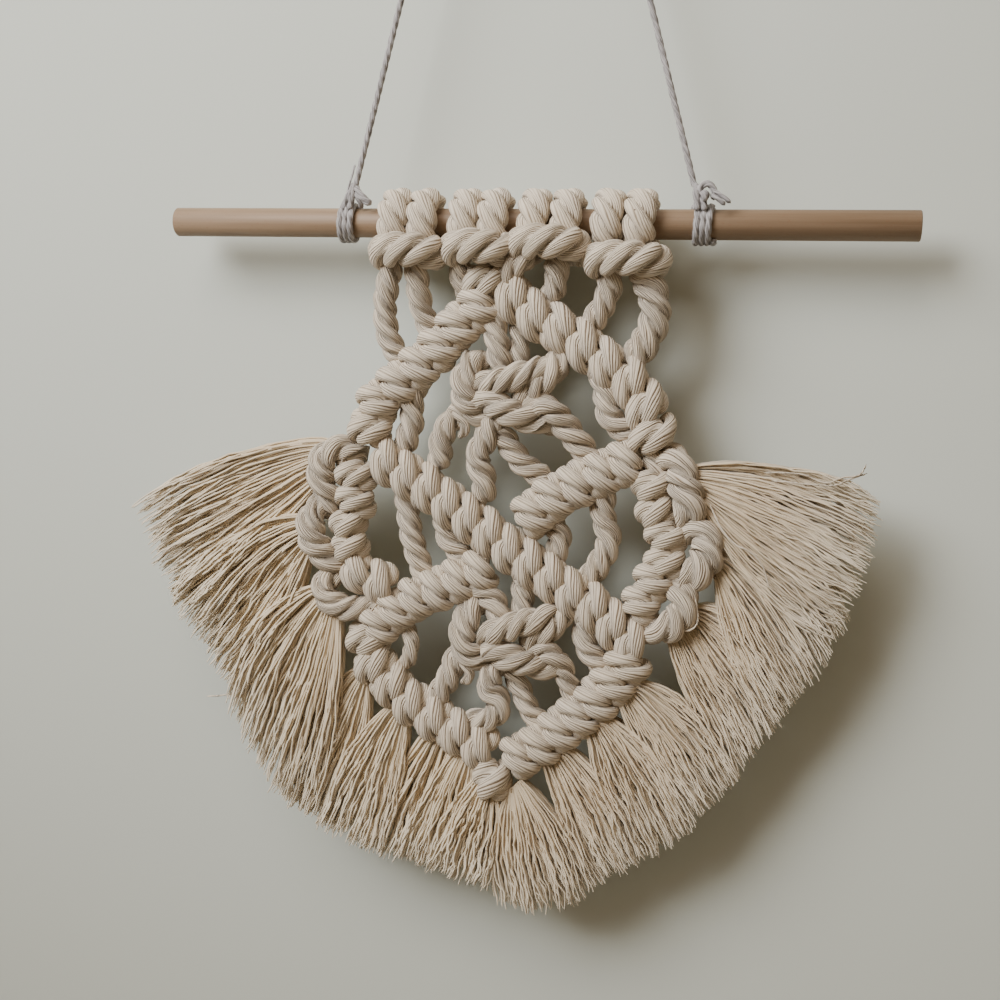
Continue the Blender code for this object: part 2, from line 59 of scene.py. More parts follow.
lens = bpy.data.cameras.new("camera")
lens.lens = LENS_LENGTH
lens.sensor_width = SENSOR_WIDTH
lens.sensor_fit = "HORIZONTAL"
lens.clip_start = NEAR_CLIP
camera = bpy.data.objects.new("camera", lens)
camera.matrix_world = (Matrix.Translation(CAMERA_PLACE)
                       @ Matrix.Rotation(CAMERA_YAW, 4, "Z")
                       @ Matrix.Rotation(math.radians(90) + CAMERA_PITCH, 4, "X")
                       @ Matrix.Rotation(CAMERA_ROLL, 4, "Z"))
bpy.context.scene.collection.objects.link(camera)
bpy.context.scene.camera = camera

# ---------------------------------------------------------------------------------------------------------
# Studio: a pale painted backdrop just behind the hanging, a pale floor well below it, and soft light from
# the upper left.
# ---------------------------------------------------------------------------------------------------------
BACKDROP_DEPTH = 0.0135
BACKDROP_TOP = 2.5
FLOOR_HEIGHT = -0.62
STAGE_REACH = 3.0
BACKDROP_COLOUR = "D2D6CD"
FLOOR_COLOUR = "C4C2BA"
MOTTLE_SHADE = 0.97
WORLD_COLOUR = "F8D9B2"
WORLD_STRENGTH = 0.28
LIGHTS = (
    # (name, place, aims at, size in metres, power in watts, spread in degrees, colour)
    ("window_light", (-0.50, -0.54, 0.24), (-0.05, 0.0, -0.09), 0.62, 2.45, 70, "FAFBFB"),
    ("room_light", (-0.15, -0.60, 0.62), (-0.04, 0.0, 0.02), 0.45, 0.8, 90, "FFF8F0"),
)


def linear(colour):
    """An sRGB hex colour as linear red, green, blue and alpha."""
    values = [int(colour[start:start + 2], 16) / 255 for start in (0, 2, 4)]
    return tuple(v / 12.92 if v <= 0.04045 else ((v + 0.055) / 1.055) ** 2.4 for v in values) + (1.0,)


def add_node(tree, kind, inputs=(), output=None, **settings):
    """Adds a node with its settings and its inputs, by name or in order; an input that is a socket is linked.

    Returns the output of the given name, or the first one.
    """
    node = tree.nodes.new(kind)
    for name, value in settings.items():
        setattr(node, name, value)
    live = [socket for socket in node.inputs if socket.enabled]
    if not isinstance(inputs, dict):
        inputs = dict(enumerate(inputs))
    for key, value in inputs.items():
        socket = live[key] if isinstance(key, int) else next(each for each in live if each.name == key)
        if isinstance(value, bpy.types.NodeSocket):
            tree.links.new(value, socket)
        else:
            socket.default_value = value
    results = {each.name: each for each in node.outputs if each.enabled}
    return results.get(output, next(iter(results.values()), None))


def new_material(name):
    """An empty material, and add_node for its tree."""
    material = bpy.data.materials.new(name)
    material.use_nodes = True
    material.node_tree.nodes.clear()
    return material, partial(add_node, material.node_tree)


def stage_plane(name, corners, colour):
    """A flat painted sheet of the studio, faintly mottled every 0.1 m and seen from its front only."""
    mesh = bpy.data.meshes.new(name)
    mesh.from_pydata(corners, [], [(0, 1, 2, 3)])
    sheet = bpy.data.objects.new(name, mesh)
    bpy.context.scene.collection.objects.link(sheet)
    material, add = new_material(name + "_paint")
    spot = add("ShaderNodeTexCoord", output="Object")
    mottle = add("ShaderNodeTexNoise", {"Vector": spot, "Scale": 9.0, "Detail": 3.0})
    plain = linear(colour)
    darker = tuple(value * MOTTLE_SHADE for value in plain[:3]) + (1.0,)
    paint = add("ShaderNodeMix", (mottle, darker, plain), data_type="RGBA")
    front = add("ShaderNodeBsdfPrincipled", {"Base Color": paint, "Roughness": 0.9})
    clear = add("ShaderNodeBsdfTransparent")
    turned = add("ShaderNodeNewGeometry", output="Backfacing")
    either = add("ShaderNodeMixShader", (turned, front, clear))
    add("ShaderNodeOutputMaterial", {"Surface": either})
    mesh.materials.append(material)
    sheet.visible_shadow = False


stage_plane("backdrop", [(-STAGE_REACH, BACKDROP_DEPTH, FLOOR_HEIGHT),
                         (STAGE_REACH, BACKDROP_DEPTH, FLOOR_HEIGHT),
                         (STAGE_REACH, BACKDROP_DEPTH, BACKDROP_TOP),
                         (-STAGE_REACH, BACKDROP_DEPTH, BACKDROP_TOP)], BACKDROP_COLOUR)
stage_plane("floor", [(-STAGE_REACH, -STAGE_REACH, FLOOR_HEIGHT), (STAGE_REACH, -STAGE_REACH, FLOOR_HEIGHT),
                      (STAGE_REACH, STAGE_REACH, FLOOR_HEIGHT), (-STAGE_REACH, STAGE_REACH, FLOOR_HEIGHT)],
            FLOOR_COLOUR)
for name, spot, aim, size, power, spread, colour in LIGHTS:
    lamp = bpy.data.lights.new(name, "AREA")
    lamp.shape = "DISK"
    lamp.size = size
    lamp.energy = power
    lamp.spread = math.radians(spread)
    lamp.color = linear(colour)[:3]
    light = bpy.data.objects.new(name, lamp)
    light.location = spot
    light.rotation_euler = (Vector(aim) - Vector(spot)).to_track_quat("-Z", "Y").to_euler()
    bpy.context.scene.collection.objects.link(light)
world = bpy.data.worlds.new("studio")
world.use_nodes = True
background = world.node_tree.nodes["Background"]
background.inputs["Color"].default_value = linear(WORLD_COLOUR)
background.inputs["Strength"].default_value = WORLD_STRENGTH
bpy.context.scene.world = world

# ---------------------------------------------------------------------------------------------------------
# Dowel: a plain round beech stick, 8 mm thick and 205 mm long, sawn off square and lightly sanded, with no
# varnish. The cords hang on it by their loops, and the twine is hitched round it at both sides of them.
# ---------------------------------------------------------------------------------------------------------
MM = 0.001
DOWEL_LENGTH = 0.205
DOWEL_RADIUS = 0.004
DOWEL_SIDES = 64
# the nail's height over the dowel's axis, and how far right of the nail the middle of the dowel is
HANG_HEIGHT = 0.184
DOWEL_OFFSET = 0.007
SANDED_EDGE = 0.00025
SHARP_ANGLE = math.radians(50)


def place(x, z, depth):
    """A point of the tables, in metres in the object's frame."""
    return Vector((DOWEL_OFFSET + x * MM, -depth * MM, z * MM - HANG_HEIGHT))


def beech():
    """Beech, turned and sanded: pale pinkish brown, with short dark flecks along the grain."""
    material, add = new_material("beech_sanded")
    spot = add("ShaderNodeTexCoord", output="Object")
    # growth rings about 2 mm apart, drawn out to 70 mm along the stick
    grain_space = add("ShaderNodeMapping", {"Vector": spot, "Scale": (14.0, 480.0, 480.0)})
    grain = add("ShaderNodeTexNoise", {"Vector": grain_space, "Scale": 1.0, "Detail": 4.0, "Roughness": 0.6})
    ring = add("ShaderNodeMapRange", {"Value": grain, "From Min": 0.3, "From Max": 0.7})
    wood = add("ShaderNodeMix", (ring, linear("836B52"), linear("9C836A")), data_type="RGBA")
    # flecks: the medullary rays, 0.2 mm wide and about 1 mm long
    fleck_space = add("ShaderNodeMapping", {"Vector": spot, "Scale": (900.0, 4200.0, 4200.0)})
    flecks = add("ShaderNodeTexNoise", {"Vector": fleck_space, "Scale": 1.0, "Detail": 1.0})
    dark = add("ShaderNodeMapRange", {"Value": flecks, "From Min": 0.62, "From Max": 0.72, "To Max": 0.45})
    flecked = add("ShaderNodeMix", (dark, wood, linear("8A6548")), data_type="RGBA")
    bump = add("ShaderNodeBump", {"Height": grain, "Strength": 0.25, "Distance": 0.0003})
    surface = add("ShaderNodeBsdfPrincipled", {"Base Color": flecked, "Roughness": 0.55, "Normal": bump})
    add("ShaderNodeOutputMaterial", {"Surface": surface})
    return material


def finished(name, mesh, material):
    """An object of the hanging, with its mesh in place, that rides with it."""
    made = bpy.data.objects.new(name, mesh)
    bpy.context.scene.collection.objects.link(made)
    if material is not None:
        mesh.materials.clear()
        mesh.materials.append(material)
    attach(made, "root")
    return made


def turned_stick():
    """The stick as a turned profile with flat ends, whose sharp edges are sanded off."""
    end = 0.5 * DOWEL_LENGTH
    rim = DOWEL_RADIUS - SANDED_EDGE
    rings = ((-end, rim), (SANDED_EDGE - end, DOWEL_RADIUS), (0.0, DOWEL_RADIUS),
             (end - SANDED_EDGE, DOWEL_RADIUS), (end, rim))
    middle = place(0, 0, 0)
    vertices = [middle + Vector((-end, 0, 0))]
    for x, radius in rings:
        for side in range(DOWEL_SIDES):
            turn = math.tau * side / DOWEL_SIDES
            vertices.append(middle + Vector((x, radius * math.cos(turn), radius * math.sin(turn))))
    vertices.append(middle + Vector((end, 0, 0)))
    last = 1 + (len(rings) - 1) * DOWEL_SIDES
    faces = []
    for side in range(DOWEL_SIDES):
        after = (side + 1) % DOWEL_SIDES
        faces.append((0, 1 + after, 1 + side))
        for low in range(1, last, DOWEL_SIDES):
            high = low + DOWEL_SIDES
            faces.append((low + side, low + after, high + after, high + side))
        faces.append((last + side, last + after, len(vertices) - 1))
    mesh = bpy.data.meshes.new("dowel_stick")
    mesh.from_pydata(vertices, [], faces)
    mesh.shade_smooth()
    mesh.set_sharp_from_angle(angle=SHARP_ANGLE)
    return mesh


stick = finished("dowel_stick", turned_stick(), beech())
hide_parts("dowel")

# ---------------------------------------------------------------------------------------------------------
# Lark's heads: four doubled cords, each laid over the dowel as two loops with the bight across in front.
# The cord is natural cotton, nominally 6 mm thick, in three plies of soft yarn that turn once in about
# 15 mm.
# ---------------------------------------------------------------------------------------------------------
MATH = "ShaderNodeMath"
VECTOR_MATH = "ShaderNodeVectorMath"
# the power of the curve across a ply, and across a yarn: a low one gives a flat top and narrow grooves
PLY_CROWN = 0.5
YARN_CROWN = 0.75
YARN_SPACING = 0.5 * MM
# how strongly yarns crowd into the grooves, and by how many yarns' width they wander
YARN_CROWDING = 0.35
YARN_WANDER = 3.0
# how dark the painted shade in the lines between the yarns is, and how high the fibres stand against the
# lines' depth
LINE_SHADE = 1.4
FIBRE_RELIEF = 0.35
# a seed speck's radius as a share of its cell, and the share of cells without one
SPECK_RADIUS = 0.045
SPECK_FREE = 0.7

# One run of cord: points along it, the direction in which it lies flat, its radius and how much wider than
# thick it is, the depth of the grooves between plies, the lay, the turn of the plies at its start in
# degrees, and how plain the lines between its yarns are, in painted shade and in relief
Run = namedtuple("Run", "points across radius widening groove lay turn lines")


def new_tree(name, sockets):
    """Starts a Geometry Nodes tree with named inputs; returns it, what it is given, and add_node for it."""
    tree = bpy.data.node_groups.new(name, "GeometryNodeTree")
    for label, kind, usual in sockets:
        socket = tree.interface.new_socket(label, in_out="INPUT", socket_type="NodeSocket" + kind)
        if usual is not None:
            socket.default_value = usual
    tree.interface.new_socket("Geometry", in_out="OUTPUT", socket_type="NodeSocketGeometry")
    return tree, tree.nodes.new("NodeGroupInput").outputs, partial(add_node, tree)


def end_tree(add, mesh, working, material):
    """Ends a tree: smooth shading, no working attributes, no instances, and the material."""
    mesh = add("GeometryNodeSetShadeSmooth", {"Geometry": mesh})
    mesh = add("GeometryNodeRemoveAttribute", {"Geometry": mesh, "Name": working}, pattern_mode="WILDCARD")
    mesh = add("GeometryNodeRealizeInstances", {"Geometry": mesh})
    mesh = add("GeometryNodeSetMaterial", {"Geometry": mesh, "Material": material})
    add("NodeGroupOutput", (mesh,))


def plied_cord_tree():
    """Geometry Nodes: edges become a smooth cord of twisted plies, with its yarns' run as the UV map."""
    tree, given, add = new_tree("plied_cord", (
        ("Geometry", "Geometry", None), ("Ring Spacing", "Float", 0.7 * MM), ("Sides", "Int", 24),
        ("Plies", "Int", 3), ("Yarn Slant", "Float", 0.4), ("Unevenness", "Float", 0.05),
        ("Material", "Material", None)))
    read = {name: add("GeometryNodeInputNamedAttribute", {"Name": "path_" + name}, data_type=kind)
            for kind, names in (("FLOAT_VECTOR", ("across", "centre")),
                                ("FLOAT", ("radius", "widening", "groove", "lay", "turn", "along", "end",
                                           "around")))
            for name in names}
    # the path as a smooth curve in even steps, along which the plies turn once in every lay
    curve = add("GeometryNodeMeshToCurve", {"Mesh": given["Geometry"]})
    curve = add("GeometryNodeCurveSplineType", {"Curve": curve}, spline_type="CATMULL_ROM")
    curve = add("GeometryNodeResampleCurve", {"Curve": curve, "Length": given["Ring Spacing"]}, mode="LENGTH")
    along = add("GeometryNodeSplineParameter", output="Length")
    whole = add("GeometryNodeSplineLength", output="Length")
    remaining = add(MATH, (whole, along), operation="SUBTRACT")
    nearest_end = add(MATH, (along, remaining), operation="MINIMUM")
    for name, value, kind in (("path_centre", add("GeometryNodeInputPosition"), "FLOAT_VECTOR"),
                              ("path_along", along, "FLOAT"), ("path_end", nearest_end, "FLOAT")):
        curve = add("GeometryNodeStoreNamedAttribute", {"Geometry": curve, "Name": name, "Value": value},
                    data_type=kind, domain="POINT")
    full_turns = add(MATH, (along, math.tau), operation="MULTIPLY")
    laid = add(MATH, (full_turns, read["lay"]), operation="DIVIDE")
    turn = add(MATH, (read["turn"], laid), operation="SUBTRACT")
    curve = add("GeometryNodeSetCurveNormal", {"Curve": curve, "Normal": read["across"]}, mode="FREE")
    curve = add("GeometryNodeSetCurveTilt", {"Curve": curve, "Tilt": turn})
    # an open ring of unit radius, whose first and last points meet in a groove
    points = add(MATH, (given["Sides"], 1), operation="ADD")
    line = add("GeometryNodeCurvePrimitiveLine")
    ring = add("GeometryNodeResampleCurve", {"Curve": line, "Count": points}, mode="COUNT")
    part = add("GeometryNodeSplineParameter", output="Factor")
    ring = add("GeometryNodeStoreNamedAttribute", {"Geometry": ring, "Name": "path_around", "Value": part},
               data_type="FLOAT", domain="POINT")
    half_ply = add(MATH, (math.pi, given["Plies"]), operation="DIVIDE")
    angle = add(MATH, (read["around"], math.tau, half_ply), operation="MULTIPLY_ADD")
    cosine = add(MATH, (angle,), operation="COSINE")
    sine = add(MATH, (angle,), operation="SINE")
    circle = add("ShaderNodeCombineXYZ", (cosine, sine))
    ring = add("GeometryNodeSetPosition", {"Geometry": ring, "Position": circle})
    mesh = add("GeometryNodeCurveToMesh", {"Curve": curve, "Profile Curve": ring, "Scale": read["radius"]})
    # grooves between the plies
    plies = add(MATH, (read["around"], given["Plies"], 0.5), operation="MULTIPLY_ADD")
    half_turns = add(MATH, (plies, math.pi), operation="MULTIPLY")
    swing = add(MATH, (half_turns,), operation="COSINE")
    height = add(MATH, (swing,), operation="ABSOLUTE")
    crest = add(MATH, (height, PLY_CROWN), operation="POWER")
    hollow = add(MATH, (1.0, crest), operation="SUBTRACT")
    cut = add(MATH, (read["groove"], hollow), operation="MULTIPLY")
    lobed = add(MATH, (1.0, cut), operation="SUBTRACT")
    # ends rounded off over the cord's own radius
    radii = add(MATH, (read["end"], read["radius"]), operation="DIVIDE")
    near = add(MATH, (1.0, radii), operation="MINIMUM")
    from_end = add(MATH, (1.0, near), operation="SUBTRACT")
    squared = add(MATH, (from_end, from_end), operation="MULTIPLY")
    kept = add(MATH, (1.0, squared), operation="SUBTRACT")
    rounded = add(MATH, (kept,), operation="SQRT")
    # thicker and thinner places, about 4 mm long
    position = add("GeometryNodeInputPosition")
    noise = add("ShaderNodeTexNoise", {"Vector": position, "Scale": 260.0, "Detail": 1.0})
    change = add(MATH, (noise, 0.5), operation="SUBTRACT")
    both_ways = add(MATH, (given["Unevenness"], 2.0), operation="MULTIPLY")
    uneven = add(MATH, (change, both_ways, 1.0), operation="MULTIPLY_ADD")
    # the section: each point on its spoke from the path, and then spread across it
    size = add(MATH, (lobed, rounded), operation="MULTIPLY")
    size = add(MATH, (size, uneven), operation="MULTIPLY")
    spoke = add(VECTOR_MATH, (position, read["centre"]), operation="SUBTRACT")
    spoke = add(VECTOR_MATH, (spoke, size), operation="SCALE")
    breadth = add(VECTOR_MATH, (spoke, read["across"]), "Value", operation="DOT_PRODUCT")
    more = add(MATH, (read["widening"], 1.0), operation="SUBTRACT")
    wide = add(MATH, (breadth, more), operation="MULTIPLY")
    spread = add(VECTOR_MATH, (read["across"], wide), operation="SCALE")
    shaped = add(VECTOR_MATH, (read["centre"], spoke), operation="ADD")
    shaped = add(VECTOR_MATH, (shaped, spread), operation="ADD")
    mesh = add("GeometryNodeSetPosition", {"Geometry": mesh, "Position": shaped})
    # UV map in metres: across the yarns, which crowd into the grooves, and along the cord
    girth = add(MATH, (read["radius"], math.tau), operation="MULTIPLY")
    plies = add(MATH, (read["around"], given["Plies"]), operation="MULTIPLY")
    full_turns = add(MATH, (plies, math.tau), operation="MULTIPLY")
    swing = add(MATH, (full_turns,), operation="SINE")
    crowding = add(MATH, (YARN_CROWDING / math.tau, given["Plies"]), operation="DIVIDE")
    crowded = add(MATH, (swing, crowding, read["around"]), operation="MULTIPLY_ADD")
    lays = add(MATH, (read["along"], read["lay"]), operation="DIVIDE")
    slanted = add(MATH, (given["Yarn Slant"], lays), operation="MULTIPLY")
    yarn = add(MATH, (crowded, slanted), operation="SUBTRACT")
    yarn = add(MATH, (girth, yarn), operation="MULTIPLY")
    map_point = add("ShaderNodeCombineXYZ", (yarn, read["along"]))
    mesh = add("GeometryNodeStoreNamedAttribute", {"Geometry": mesh, "Name": "UVMap", "Value": map_point},
               data_type="FLOAT2", domain="CORNER")
    mesh = add("GeometryNodeMergeByDistance", {"Geometry": mesh, "Distance": 0.01 * MM})
    end_tree(add, mesh, "path_*", given["Material"])
    return tree


def through_nodes(name, mesh, tree, inputs):
    """The plain mesh that a tree makes of a guide mesh, as an object of the hanging."""
    guide = bpy.data.objects.new(name + "_guide", mesh)
    bpy.context.scene.collection.objects.link(guide)
    modifier = guide.modifiers.new(tree.name, "NODES")
    modifier.node_group = tree
    sockets = {item.name: item.identifier for item in tree.interface.items_tree if item.in_out == "INPUT"}
    for key, value in inputs.items():
        modifier[sockets[key]] = value
    evaluated = guide.evaluated_get(bpy.context.evaluated_depsgraph_get())
    result = bpy.data.meshes.new_from_object(evaluated)
    guide.modifiers.remove(modifier)
    bpy.data.objects.remove(guide)
    bpy.data.meshes.remove(mesh)
    result.name = name
    return finished(name, result, None)


def cord_piece(name, runs, tree, material, slot, **inputs):
    """Lays runs of cord as edges with their sizes, and makes them into one object."""
    vertices, edges, across = [], [], []
    columns = {}
    for run in runs:
        start, count = len(vertices), len(run.points)
        vertices += run.points
        edges += [(start + step, start + step + 1) for step in range(count - 1)]
        across += list(run.across.normalized()) * count
        sizes = {"path_radius": run.radius * MM, "path_widening": run.widening, "path_groove": run.groove,
                 "path_lay": run.lay * MM, "path_turn": math.radians(run.turn), "lines": run.lines}
        for label, value in sizes.items():
            columns.setdefault(label, []).extend([value] * count)
    mesh = bpy.data.meshes.new(name + "_paths")
    mesh.from_pydata(vertices, edges, [])
    for label, values in columns.items():
        mesh.attributes.new(label, "FLOAT", "POINT").data.foreach_set("value", values)
    mesh.attributes.new("path_across", "FLOAT_VECTOR", "POINT").data.foreach_set("vector", across)
    return through_nodes(name, mesh, tree, {"Material": material, **inputs})


def cotton_cord():
    """Unbleached cotton cord: matt, faintly furry, yarn lines in painted shade, soft patches, a few seed
    specks.
    """
    material, add = new_material("natural_cotton_cord")
    spot = add("ShaderNodeTexCoord", output="Object")
    run = add("ShaderNodeUVMap", uv_map="UVMap")
    across = add("ShaderNodeSeparateXYZ", (run,), "X")
    # how the yarns wander, how open the lines between them are, and their fibres
    noises = {}
    for name, width, length, detail in (("wander", 3.0, 20.0, 1.0), ("openness", 1.0, 9.0, 2.0),
                                        ("fibres", 0.2, 3.0, 2.0)):
        space = add("ShaderNodeMapping", {"Vector": run, "Scale": (1 / (width * MM), 1 / (length * MM), 1.0)})
        noises[name] = add("ShaderNodeTexNoise", {"Vector": space, "Scale": 1.0, "Detail": detail},
                           noise_dimensions="2D")
    # round yarns, with a line between each two that is deep in some places and nearly closed in others
    even = add(MATH, (across, YARN_SPACING), operation="DIVIDE")
    count = add(MATH, (noises["wander"], YARN_WANDER, even), operation="MULTIPLY_ADD")
    half_turns = add(MATH, (count, math.pi), operation="MULTIPLY")
    swing = add(MATH, (half_turns,), operation="SINE")
    height = add(MATH, (swing,), operation="ABSOLUTE")
    round_yarn = add(MATH, (height, YARN_CROWN), operation="POWER")
    gap = add(MATH, (1.0, round_yarn), operation="SUBTRACT")
    depth = add("ShaderNodeMapRange", {"Value": noises["openness"], "From Min": 0.34, "From Max": 0.66,
                                       "To Min": 0.25})
    plainness = add("ShaderNodeAttribute", output="Fac", attribute_name="lines")
    line = add(MATH, (gap, depth), operation="MULTIPLY")
    line = add(MATH, (line, plainness), operation="MULTIPLY")
    # soft patches where the cotton is greyer or creamier, 10 mm across
    patches = add("ShaderNodeTexNoise", {"Vector": spot, "Scale": 1 / (10 * MM), "Detail": 2.0})
    base = add("ShaderNodeMix", (patches, linear("E8D8C0"), linear("E3D7C6")), data_type="RGBA")
    # the lines between the yarns are painted darker: painted shade in the crevices between them
    shade = add(MATH, (line, LINE_SHADE), operation="MULTIPLY")
    shade = add(MATH, (shade, 1.0), operation="MINIMUM")
    lined = add("ShaderNodeMix", (shade, base, linear("866B4E")), data_type="RGBA")
    # seed specks, 0.5 mm across, in about one cell of 6 mm out of three
    distance = add("ShaderNodeTexVoronoi", {"Vector": spot, "Scale": 1 / (6.25 * MM)}, "Distance")
    near = add(MATH, (distance, SPECK_RADIUS), operation="LESS_THAN")
    lot = add("ShaderNodeSeparateColor", (distance.node.outputs["Color"],))
    chosen = add(MATH, (lot, SPECK_FREE), operation="GREATER_THAN")
    speck = add(MATH, (near, chosen), operation="MULTIPLY")
    colour = add("ShaderNodeMix", (speck, lined, linear("5A4632")), data_type="RGBA")
    fibres = add(MATH, (noises["fibres"], FIBRE_RELIEF), operation="MULTIPLY")
    relief = add(MATH, (fibres, line), operation="SUBTRACT")
    bump = add("ShaderNodeBump", {"Height": relief, "Strength": 1.0, "Distance": 0.45 * MM})
    surface = add("ShaderNodeBsdfPrincipled", {
        "Base Color": colour, "Roughness": 0.9, "Normal": bump, "Sheen Weight": 0.2, "Sheen Roughness": 0.5,
        "Specular IOR Level": 0.25})
    add("ShaderNodeOutputMaterial", {"Surface": surface})
    return material


LARKS_HEADS = (
    # (x, half_spacing, bar_x, bar_z, bar_half_length): the middle of a pair of loops, and of its bight
    (-32.3, 4.1, -31.4, -8.8, 7.2),
    (-12.6, 4.0, -12.0, -7.7, 6.6),
    (6.9, 4.4, 6.9, -6.3, 7.2),
    (26.6, 4.3, 28.0, -10.4, 7.8),
)
LOOP_RADIUS = 3.0
LOOP_WIDENING = 1.5
LOOP_GROOVE = 0.5
LOOP_LAY = 18.0
LOOP_CLEAR = 6.8
LOOP_ANGLES = range(-30, 211, 30)
LOOP_LINES = 0.7
# the front end of a loop is tucked in under the bight, and its back end comes forward below the dowel
TUCK_INWARDS = 0.6
TUCK_CLEAR = 7.2
TUCK_ANGLE = -60
LOOP_TAIL = (
    # (outwards, z, depth)
    (1.5, -7.6, -3.0),
    (3.0, -9.6, 2.0),
)
BIGHT_RADIUS = 4.4
BIGHT_WIDENING = 1.1
BIGHT_GROOVE = 0.45
BIGHT_LAY = 16.0
BIGHT_LINES = 0.8
BIGHT_SHAPE = (
    # (share of the half length, rise, depth)
    (-0.9, 0.8, 1.5),
    (-1.02, -0.2, 7.0),
    (-0.7, 0.0, 10.6),
    (0.0, 0.2, 12.0),
    (0.7, 0.0, 10.6),
    (1.02, -0.2, 7.0),
    (0.9, 0.8, 1.5),
)
# the plies' turn at the start of a loop or bight, and how it differs from one to the next
LOOP_TURN, LOOP_TURN_PER_HEAD, LOOP_TURN_PER_SIDE = 40, 12, -8
BIGHT_TURN, BIGHT_TURN_SWING, BIGHT_TURN_STEP = 67, 10, 2.0


def around_dowel(x, radius, angle):
    """A point on a circle round the dowel; 0 degrees faces the viewer and 90 degrees is the top."""
    turned = math.radians(angle)
    return place(x, radius * math.sin(turned), radius * math.cos(turned))


cord_tree = plied_cord_tree()
cotton = cotton_cord()
head_runs = []
for number, (x, half_spacing, bar_x, bar_z, bar_half_length) in enumerate(LARKS_HEADS):
    for side in (-1, 1):
        loop_x = x + side * half_spacing
        loop = [around_dowel(loop_x - side * TUCK_INWARDS, TUCK_CLEAR, TUCK_ANGLE)]
        loop += [around_dowel(loop_x, LOOP_CLEAR, angle) for angle in LOOP_ANGLES]
        loop += [place(loop_x + side * outwards, z, depth) for outwards, z, depth in LOOP_TAIL]
        turn = LOOP_TURN + LOOP_TURN_PER_HEAD * number + LOOP_TURN_PER_SIDE * side
        head_runs.append(Run(loop, Vector((1, 0, 0)), LOOP_RADIUS, LOOP_WIDENING, LOOP_GROOVE, LOOP_LAY, turn,
                             LOOP_LINES))
    bight = [place(bar_x + share * bar_half_length, bar_z + rise, depth)
             for share, rise, depth in BIGHT_SHAPE]
    turn = BIGHT_TURN + BIGHT_TURN_SWING * math.sin(BIGHT_TURN_STEP * number)
    head_runs.append(Run(bight, Vector((0, 0, 1)), BIGHT_RADIUS, BIGHT_WIDENING, BIGHT_GROOVE, BIGHT_LAY,
                         turn, BIGHT_LINES))
cord_piece("larks_heads", head_runs, cord_tree, cotton, "cotton_cord")

# ---------------------------------------------------------------------------------------------------------
# Hitched bars: rows of double half hitches of the same cotton cord, each wrap drawn tight over a carrier.
# Two bars cross in the middle and their branches close an upper and a lower diamond; short bars stand
# inside each wing.
# ---------------------------------------------------------------------------------------------------------
BARS = (
    # (wraps, half_width, slant, ((x, z), ...) along the carrier)
    (8, 7.0, -0.8, ((-11.0, -12.5), (-10.2, -21.0), (-17.0, -28.0), (-25.0, -37.0), (-33.5, -44.0),
                    (-40.0, -51.0), (-42.0, -61.0))),
    (8, 7.0, 2.6, ((-5.5, -17.5), (3.8, -25.0), (13.5, -30.2), (21.0, -35.7), (28.0, -40.6), (33.5, -46.8),
                   (36.3, -53.3), (36.0, -60.0))),
    (13, 7.0, 2.4, ((-39.5, -64.5), (-24.5, -73.0), (-9.0, -83.0), (6.0, -93.0), (22.5, -103.0),
                    (36.0, -114.0))),
    (5, 7.2, -0.6, ((33.0, -62.0), (23.0, -67.0), (12.0, -73.0), (2.5, -81.0))),
    (6, 7.0, -0.4, ((-6.0, -93.5), (-16.0, -98.5), (-29.0, -105.0), (-40.0, -114.0))),
    (7, 7.0, 0.4, ((-40.5, -112.0), (-39.0, -121.5), (-30.0, -131.0), (-17.5, -138.5), (-4.0, -145.0))),
    (7, 7.2, 0.0, ((34.5, -115.0), (27.0, -125.5), (15.0, -137.0), (1.5, -147.5))),
    (2, 6.6, -2.0, ((-46.0, -66.5), (-45.0, -73.5), (-45.5, -80.5))),
    (2, 6.0, 0.6, ((-47.5, -80.5), (-46.5, -87.0), (-46.0, -93.5))),
    (2, 6.4, 2.0, ((-47.5, -96.5), (-42.5, -97.5), (-37.5, -99.5), (-34.0, -102.0))),
    (2, 6.0, 0.0, ((37.0, -66.0), (37.5, -72.5), (39.5, -79.5))),
    (2, 6.3, -1.0, ((41.5, -79.0), (41.5, -85.5), (42.0, -93.0))),
    (2, 6.2, -1.6, ((40.0, -91.5), (37.5, -97.0), (34.0, -104.5))),
    (1, 6.0, 0.0, ((-3.3, -147.5), (-3.3, -157.0))),
)
FRONT = Vector((0, -1, 0))
SHEET_DEPTH = 5.0
BAR_HALF_DEPTH = 6.0
WRAP_RADIUS = 3.5
WRAP_WIDENING = 1.3
WRAP_GROOVE = 0.5
WRAP_LAY = 15.0
WRAP_LINES = 0.8
# the plies' turn at the start of a wrap, and how it differs from one to the next
WRAP_TURN, WRAP_TURN_SWING, WRAP_TURN_STEP = -6, 14, 2.3
# a wrap runs from behind its carrier, over the front and back, in degrees from the front
WRAP_END = 160
WRAP_STEP = 32
CURVE_STEPS = 16


def along_path(points, share):
    """The place and direction at a share of the way along a smooth curve through the points."""
    ends = [2 * points[0] - points[1]] + list(points) + [2 * points[-1] - points[-2]]
    fine = []
    for before, start, end, after in zip(ends, ends[1:], ends[2:], ends[3:]):
        for step in range(CURVE_STEPS):
            t = step / CURVE_STEPS
            bend = 2 * before - 5 * start + 4 * end - after
            twist = 3 * (start - end) + after - before
            fine.append(start + 0.5 * t * ((end - before) + t * (bend + t * twist)))
    fine.append(points[-1])
    ways = [0.0]
    for here, following in zip(fine, fine[1:]):
        ways.append(ways[-1] + (following - here).length)
    wanted = share * ways[-1]
    index = max(number for number, way in enumerate(ways[:-1]) if way <= wanted)
    part = (wanted - ways[index]) / (ways[index + 1] - ways[index])
    return fine[index].lerp(fine[index + 1], part), (fine[index + 1] - fine[index]).normalized()


